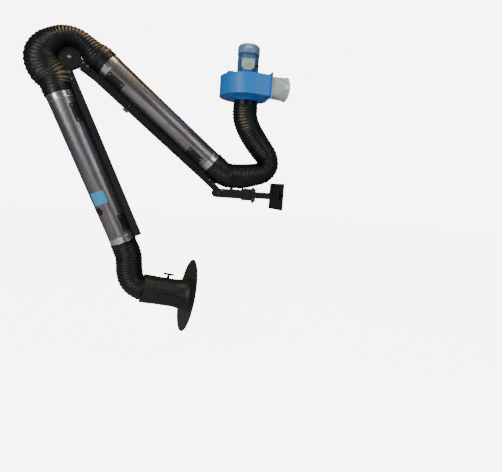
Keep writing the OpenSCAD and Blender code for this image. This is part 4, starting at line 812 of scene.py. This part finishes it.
# %% Shoulder hose
connector_lead = 4 * mm
inner_start = 175 * mm
shoulder_from = Vector((connector_x - ring_half - connector_spigot - connector_lead, 0, connector_up))
shoulder_to = inner_at(inner_start)
rise = math.asin(inner_u.z)
corner = shoulder_to.x + (shoulder_to.z - connector_up) / math.tan(rise)
bend_radius = (shoulder_from.x - corner) / math.tan(rise / 2)
bend_shares = [(0.25, 0.98), (0.5, 0.96), (0.75, 0.98), (1, 1)]
shoulder_route = (
    [flat_point(shoulder_from + Vector((connector_lead + share * connector_spigot, 0, 0)))
     for share in (1, 0.5, 0)]
    + [flat_point(shoulder_from)]
    + [(shoulder_from.x - bend_radius * math.sin(share * rise),
        shoulder_from.z + bend_radius * (1 - math.cos(share * rise)), flatness)
       for share, flatness in bend_shares]
    + backwards([flat_point(inner_at(inner_start - share * spigot)) for share in (0, 0.5, 1, 1.15)]))
shoulder_hose = hose("shoulder_hose_cloth", shoulder_route, 9, plain=(connector_spigot, spigot), seed=5,
                     dust_and_sheen_marks=[(0.0, 1.0, (0.0, 0.0, 1.0), 40, 0.2)])
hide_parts("shoulder_hose")
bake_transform(shoulder_hose)

# %% [markdown]
# ## The elbow hose
# At the elbow the hose wraps round the two cheek discs. It is squeezed flat where it lies on them and
# bulges to the side, and it swings out in a wide bow before it meets the outer tube.

# %% Elbow hose
inner_end = 1120 * mm
outer_start = 185 * mm
elbow_shares = [(14, 0.95, 0.98), (34, 0.80, 0.82), (64, 0.75, 0.74), (101, 0.75, 0.74), (134, 0.78, 0.83),
                (160, 0.88, 1.00), (186, 0.975, 1.15), (212, 0.985, 1.17), (235, 1.00, 1.09)]
elbow_route = (
    straight(inner_at(inner_end), inner_u)
    + [(elbow.x + share * 2 * tube_radius * math.cos(math.radians(angle)),
        elbow.z + share * 2 * tube_radius * math.sin(math.radians(angle)), flatness)
       for angle, share, flatness in elbow_shares]
    + backwards(straight(outer_at(outer_start), -outer_u)))
# Both marks are painted warm highlights: on crests facing up and right, and on the inner side facing front.
elbow_hose = hose("elbow_hose_cloth", elbow_route, 40, seed=7, dust_and_sheen_marks=[
    (0.01, 0.46, (0.45, -0.45, 0.78), 54, 1.0), (0.60, 0.95, (0.8, -0.58, 0.1), 46, 0.8)])
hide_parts("elbow_hose")
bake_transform(elbow_hose)

# %% [markdown]
# ## The hood hose
# Below the outer tube the hose turns in two ways: round the tube's line, and up or down with the
# hood. It is made as two lengths that meet at a ring. The ring sits where the hose still runs on the
# tube's line, and each length's bend stops short of it, so they don't part.

# %% Hood hose
outer_end = 1230 * mm
outer_length = 1608 * mm
hood_run = outer_length - outer_end
hood_hose_in = 50 * mm
split = 0.30
hood_shares = [(0.32, 0.03, 1), (0.46, 0.14, 1), (0.6, 0.25, 1), (0.76, 0.3, 0.96), (0.9, 0.21, 0.93)]
hood_route = (
    straight(outer_at(outer_end), outer_u)
    + [flat_point(outer_at(outer_end + share * hood_run, outer_tube_off + off * 2 * tube_radius), flatness)
       for share, off, flatness in hood_shares]
    + backwards(straight(hood_at(hood_hose_in), -hood_u)))
hood_hose_upper = hose("hood_hose_upper_cloth", hood_route, 22, part=(0.0, split), seed=11)
hood_hose_lower = hose("hood_hose_lower_cloth", hood_route, 22, part=(split, 1.0), seed=11)
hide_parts("hood_hose_upper")
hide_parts("hood_hose_lower")
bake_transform(hood_hose_upper)
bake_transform(hood_hose_lower)

# %% [markdown]
# ## Pieces made from points
# Rails, screw heads, labels, plates and weld beads are small solids. A helper for each kind gives its
# points and faces, and finish_piece makes the piece, turns its faces outwards and puts it on its body.
# Where a plate is flat, a small bevel catches the light.

# %% Helpers for small pieces


def finish_piece(name, vertices, faces, material, body, slot, bevel=0.0, smooth=False):
    mesh = bpy.data.meshes.new(name)
    mesh.from_pydata([tuple(v) for v in vertices], [], faces)
    work = bmesh.new()
    work.from_mesh(mesh)
    bmesh.ops.remove_doubles(work, verts=work.verts, dist=1e-7)
    bmesh.ops.recalc_face_normals(work, faces=work.faces)
    work.to_mesh(mesh)
    work.free()
    mesh.materials.append(material)
    if smooth:
        mesh.shade_smooth()
    piece = add_to_scene(name, mesh)
    if bevel:
        edge = piece.modifiers.new("soft_edges", "BEVEL")
        edge.width = bevel
        edge.segments = 2
        edge.limit_method = "ANGLE"
    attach(piece, body)
    print(name, "on", body, len(mesh.polygons), "faces")
    return piece


def rounded_outline(width, height, corner, steps=5):
    outline = []
    for across, up, start in ((1, 1, 0), (-1, 1, 90), (-1, -1, 180), (1, -1, 270)):
        for k in range(steps + 1):
            angle = math.radians(start + 90 * k / steps)
            outline.append((across * (width / 2 - corner) + corner * math.cos(angle),
                            up * (height / 2 - corner) + corner * math.sin(angle)))
    return outline


def prism_faces(n):
    """Two ends with n corners each, and the walls between them."""
    ends = [list(range(n))[::-1], list(range(n, 2 * n))]
    return ends + [[k, (k + 1) % n, n + (k + 1) % n, n + k] for k in range(n)]


def slab(outline, place, right, up, thickness):
    """Vertices and faces of an outline with a thickness, standing off its place along right x up."""
    off = right.cross(up).normalized()
    vertices = [place + right * a + up * b + off * t for t in (0, thickness) for a, b in outline]
    return vertices, prism_faces(len(outline))


def join_parts(parts):
    """Several vertex and face lists as one."""
    vertices, faces = [], []
    for some_vertices, some_faces in parts:
        faces += [[k + len(vertices) for k in face] for face in some_faces]
        vertices += some_vertices
    return vertices, faces


# %% [markdown]
# ## Mounting rails
# No light shows between the real arm's tubes and their profiles, but in the model the tubes stand a few
# millimetres off. What closes that space can't be seen, so this dark rail on each profile's back is a
# guess. It stops at each saddle and runs lower under the beaded collars and the hose ends. Its top is
# hollowed to the tube's curve, so its section is a strip with a concave side, drawn along the arm.

# %% Rails between profiles and tubes
rail_half = 15 * mm
rail_sink = 0.25 * mm


def rail_length(at, top, tube_off, under, start, stop, steps=8):
    """One length of rail: a flat foot on the profile, and a top hollowed to the radius under."""
    section = [(rail_half, top - rail_sink), (-rail_half, top - rail_sink)]
    for k in range(steps + 1):
        side = rail_half * (2 * k / steps - 1)
        section.append((side, tube_off - math.sqrt(under**2 - side**2)))
    vertices = [at(s, off, side) for s in (start, stop) for side, off in section]
    return vertices, prism_faces(len(section))


saddle_length = 120 * mm
rail_gap = 1 * mm
shortest_rail = 4 * mm
collar_length = 44 * mm
collar_out = 87.0 * mm
hose_out = 90.0 * mm


def rails(name, at, top, tube_off, saddles, tube_from, tube_to, hose_from, hose_to, body):
    bare = tube_radius - rail_sink
    stretches = [(hose_from, tube_from - rail_gap, hose_out),
                 (tube_from, tube_from + collar_length, collar_out),
                 (tube_from + collar_length + rail_gap, saddles[0] - rail_gap, bare),
                 (saddles[0] + saddle_length + rail_gap, saddles[1] - rail_gap, bare),
                 (saddles[1] + saddle_length + rail_gap, tube_to - collar_length - rail_gap, bare),
                 (tube_to - collar_length, tube_to, collar_out),
                 (tube_to + rail_gap, hose_to, hose_out)]
    lengths = [rail_length(at, top, tube_off, under, start, stop)
               for start, stop, under in stretches if stop - start > shortest_rail]
    print(name, "in", len(lengths), "lengths")
    return finish_piece(name, *join_parts(lengths), black_paint, body, "black_steel")


inner_profile_back = 44 * mm
outer_profile_back = 58 * mm
inner_saddles_at = (253 * mm, 952 * mm)
outer_saddles_at = (270 * mm, 1040 * mm)
outer_profile_short = 40 * mm
rails("inner_rail", inner_at, inner_profile_back, inner_tube_off, inner_saddles_at,
      inner_start, inner_end, inner_start - spigot, inner_end + spigot, "inner_arm")
rails("outer_rail", outer_at, outer_profile_back, outer_tube_off, outer_saddles_at,
      outer_start, outer_end, outer_start - 2 * spigot, outer_end - outer_profile_short, "outer_arm")

# %% [markdown]
# ## Two screws that catch the light
# The elbow's pin and the swivel beam each show a small light spot. Both are made as screw heads here,
# which is a guess for the beam. A pan head with a socket is a turned shape, so rings of points round
# its axis make it.

# %% Screw heads
front = Vector((0, -1, 0))
socket = 0.45
head_rows = [(1.0, 0.0), (1.0, 0.45), (0.93, 0.75), (0.72, 1.0), (socket, 1.0), (socket, 0.45)]
first_socket_row = 4


def screw(place, axis, radius, height, sides=24):
    """A pan head with a hexagon socket. A row gives its share of the radius and of the height."""
    side = axis.orthogonal().normalized()
    other = axis.cross(side)
    vertices = []
    for i, (share, up) in enumerate(head_rows):
        middle = place + axis * (height * up)
        for k in range(sides):
            angle = 2 * math.pi * k / sides
            r = radius * share
            if i >= first_socket_row:
                sixth = (angle + math.pi / 6) % (math.pi / 3) - math.pi / 6
                r *= math.cos(math.pi / 6) / math.cos(sixth)
            vertices.append(middle + side * (r * math.cos(angle)) + other * (r * math.sin(angle)))
    faces = ring_faces(len(head_rows), sides)
    faces.append(list(range(sides))[::-1])
    faces.append([(len(head_rows) - 1) * sides + k for k in range(sides)])
    return vertices, faces


pin_place = Vector((elbow.x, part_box("hinge_pins")[0].y, elbow.z))
pin_head_radius = 9 * mm
beam_place = Vector((-452 * mm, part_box("swivel_bracket")[0].y, 21 * mm))
beam_head_radius = 5.5 * mm
head_height = 3 * mm
elbow_screw = screw(pin_place, front, pin_head_radius, head_height)
finish_piece("elbow_pin_screw", *elbow_screw, zinc, "inner_arm", "zinc")
beam_screw = screw(beam_place, front, beam_head_radius, head_height)
finish_piece("swivel_beam_screw", *beam_screw, zinc, "swivel", "zinc")

# %% [markdown]
# ## A blank label on the outer tube
# A plain adhesive label lies on the tube. It is a patch of a slightly larger cylinder: rows along the
# tube, each shortened near the ends so that the corners are round, with a skirt that stops just above
# the steel. The same helper makes the plate on the motor's cowl, which is round as well.

# %% Label patch
skirt_gap = 0.05 * mm


def curved_patch(name, at, radius, stretch, turns, corner, lift, grid, material, body):
    """A thin patch on a round wall. at gives the point for a place along it, a turn and a radius."""
    start, stop = stretch
    low, high = turns
    rows, columns = grid
    vertices = []
    for r in (radius + lift, radius + skirt_gap):
        for i in range(rows + 1):
            s = start + (stop - start) * i / rows
            edge = min(s - start, stop - s)
            shrink = 0.0
            if edge < corner:
                shrink = (corner - math.sqrt(corner**2 - (corner - edge) ** 2)) / radius
            for k in range(columns + 1):
                turn = low + shrink + (high - low - 2 * shrink) * k / columns
                vertices.append(at(s, turn, r))
    width = columns + 1
    top = (rows + 1) * width
    faces = []
    for i in range(rows):
        for k in range(columns):
            a = i * width + k
            faces.append([a, a + 1, a + width + 1, a + width])
            faces.append([top + a, top + a + width, top + a + width + 1, top + a + 1])
        for k in (0, columns):
            a = i * width + k
            faces.append([a, a + width, top + a + width, top + a])
    for k in range(columns):
        for i in (0, rows):
            a = i * width + k
            faces.append([a, top + a, top + a + 1, a + 1])
    return finish_piece(name, vertices, faces, material, body, "box_grey")


def on_outer_tube(along, turn, radius):
    return outer_at(along) + outer_v * (radius * math.cos(turn)) + front * (radius * math.sin(turn))


label_stretch = (846 * mm, 936 * mm)
label_turns = (math.radians(34), math.radians(100))
label_corner = 9 * mm
label_thickness = 0.4 * mm
curved_patch("tube_label", on_outer_tube, tube_radius, label_stretch, label_turns, label_corner,
             label_thickness, (26, 18), label_film, "outer_arm")

# %% [markdown]
# ## Blank plates on the motor
# The terminal box carries a small plate, and its lid gets the four screws that such lids usually have.
# A second plate sits on the cowl. Both plates are left blank. The box faces a little to one side of the
# front, so a place on its lid is a step to the right and a height.

# %% Lid plate and lid screws
box_turn = math.radians(-17)
box_right = Vector((math.cos(box_turn), math.sin(box_turn), 0))
box_front = Vector((math.sin(box_turn), -math.cos(box_turn), 0))
upright = Vector((0, 0, 1))
lid_face = 117.1 * mm
lid_plate_up = 926 * mm
lid_plate_thickness = 0.7 * mm
lid_screw_places = ((36 * mm, 961 * mm), (24 * mm, 897 * mm))
lid_screw_radius = 3.4 * mm
lid_screw_height = 2.4 * mm


def on_lid(right, height):
    return Vector((fan_x, 0, 0)) + box_front * lid_face + box_right * right + upright * height


plate_outline = rounded_outline(58 * mm, 26 * mm, 2.5 * mm)
lid_plate = slab(plate_outline, on_lid(0, lid_plate_up), box_right, upright, lid_plate_thickness)
finish_piece("lid_plate", *lid_plate, plate_enamel, "base", "box_grey", bevel=0.15 * mm)

lid_screws = [screw(on_lid(side * right, height), box_front, lid_screw_radius, lid_screw_height)
              for right, height in lid_screw_places for side in (-1, 1)]
finish_piece("lid_screws", *join_parts(lid_screws), zinc, "base", "zinc")

# %% Cowl plate
cowl_radius = 82 * mm
cowl_plate_heights = (1047 * mm, 1067 * mm)
cowl_plate_half = math.radians(17)
cowl_plate_turns = (box_turn - cowl_plate_half, box_turn + cowl_plate_half)
cowl_plate_corner = 4 * mm
cowl_plate_thickness = 0.6 * mm


def on_cowl(height, turn, radius):
    return Vector((fan_x, 0, height)) + Vector((math.sin(turn), -math.cos(turn), 0)) * radius


curved_patch("cowl_plate", on_cowl, cowl_radius, cowl_plate_heights, cowl_plate_turns,
             cowl_plate_corner, cowl_plate_thickness, (10, 14), badge_metal, "base")

# %% [markdown]
# ## Weld beads
# Brackets like this one are usually welded up, so its seams get beads. A bead is a row of overlapping
# ripples along the seam, so a rounded ridge whose thickness swells and shrinks reads as one.

# %% Beads on the wall bracket
outward = Vector((1, 0, 0))
points_per_ripple = 4


def weld_bead(corners, radius, ripple, sides=8):
    """A rippled ridge round a closed loop of corners."""
    points = []
    count = len(corners)
    for i in range(count):
        a, b = corners[i], corners[(i + 1) % count]
        steps = max(2, int((b - a).length / ripple * points_per_ripple))
        points += [a.lerp(b, k / steps) for k in range(steps)]
    vertices = []
    n = len(points)
    for i, point in enumerate(points):
        ahead = (points[(i + 1) % n] - points[i - 1]).normalized()
        out = ahead.cross(outward).normalized()
        ripples = 0.16 * math.sin(2 * math.pi * i / points_per_ripple)
        swell = radius * (1 + ripples + 0.08 * math.sin(i * 0.37))
        for k in range(sides):
            angle = 2 * math.pi * k / sides
            vertices.append(point + out * (swell * math.cos(angle)) + outward * (swell * math.sin(angle)))
    return vertices, ring_faces(n, sides, closed=True)


def loop_at(x, half_y, half_z):
    return [Vector((x, a * half_y, b * half_z)) for a, b in ((1, 1), (-1, 1), (-1, -1), (1, -1))]


bead_radius = 2.0 * mm
bead_ripple = 6 * mm
plate_front = -8 * mm
channel_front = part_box("wall_beam")[1].x
channel_seam = loop_at(plate_front, 105 * mm, 27 * mm)
beam_seam = loop_at(channel_front, 20 * mm, 25 * mm)
beads = [weld_bead(seam, bead_radius, bead_ripple) for seam in (channel_seam, beam_seam)]
finish_piece("wall_weld_beads", *join_parts(beads), black_paint, "base", "black_steel", smooth=True)
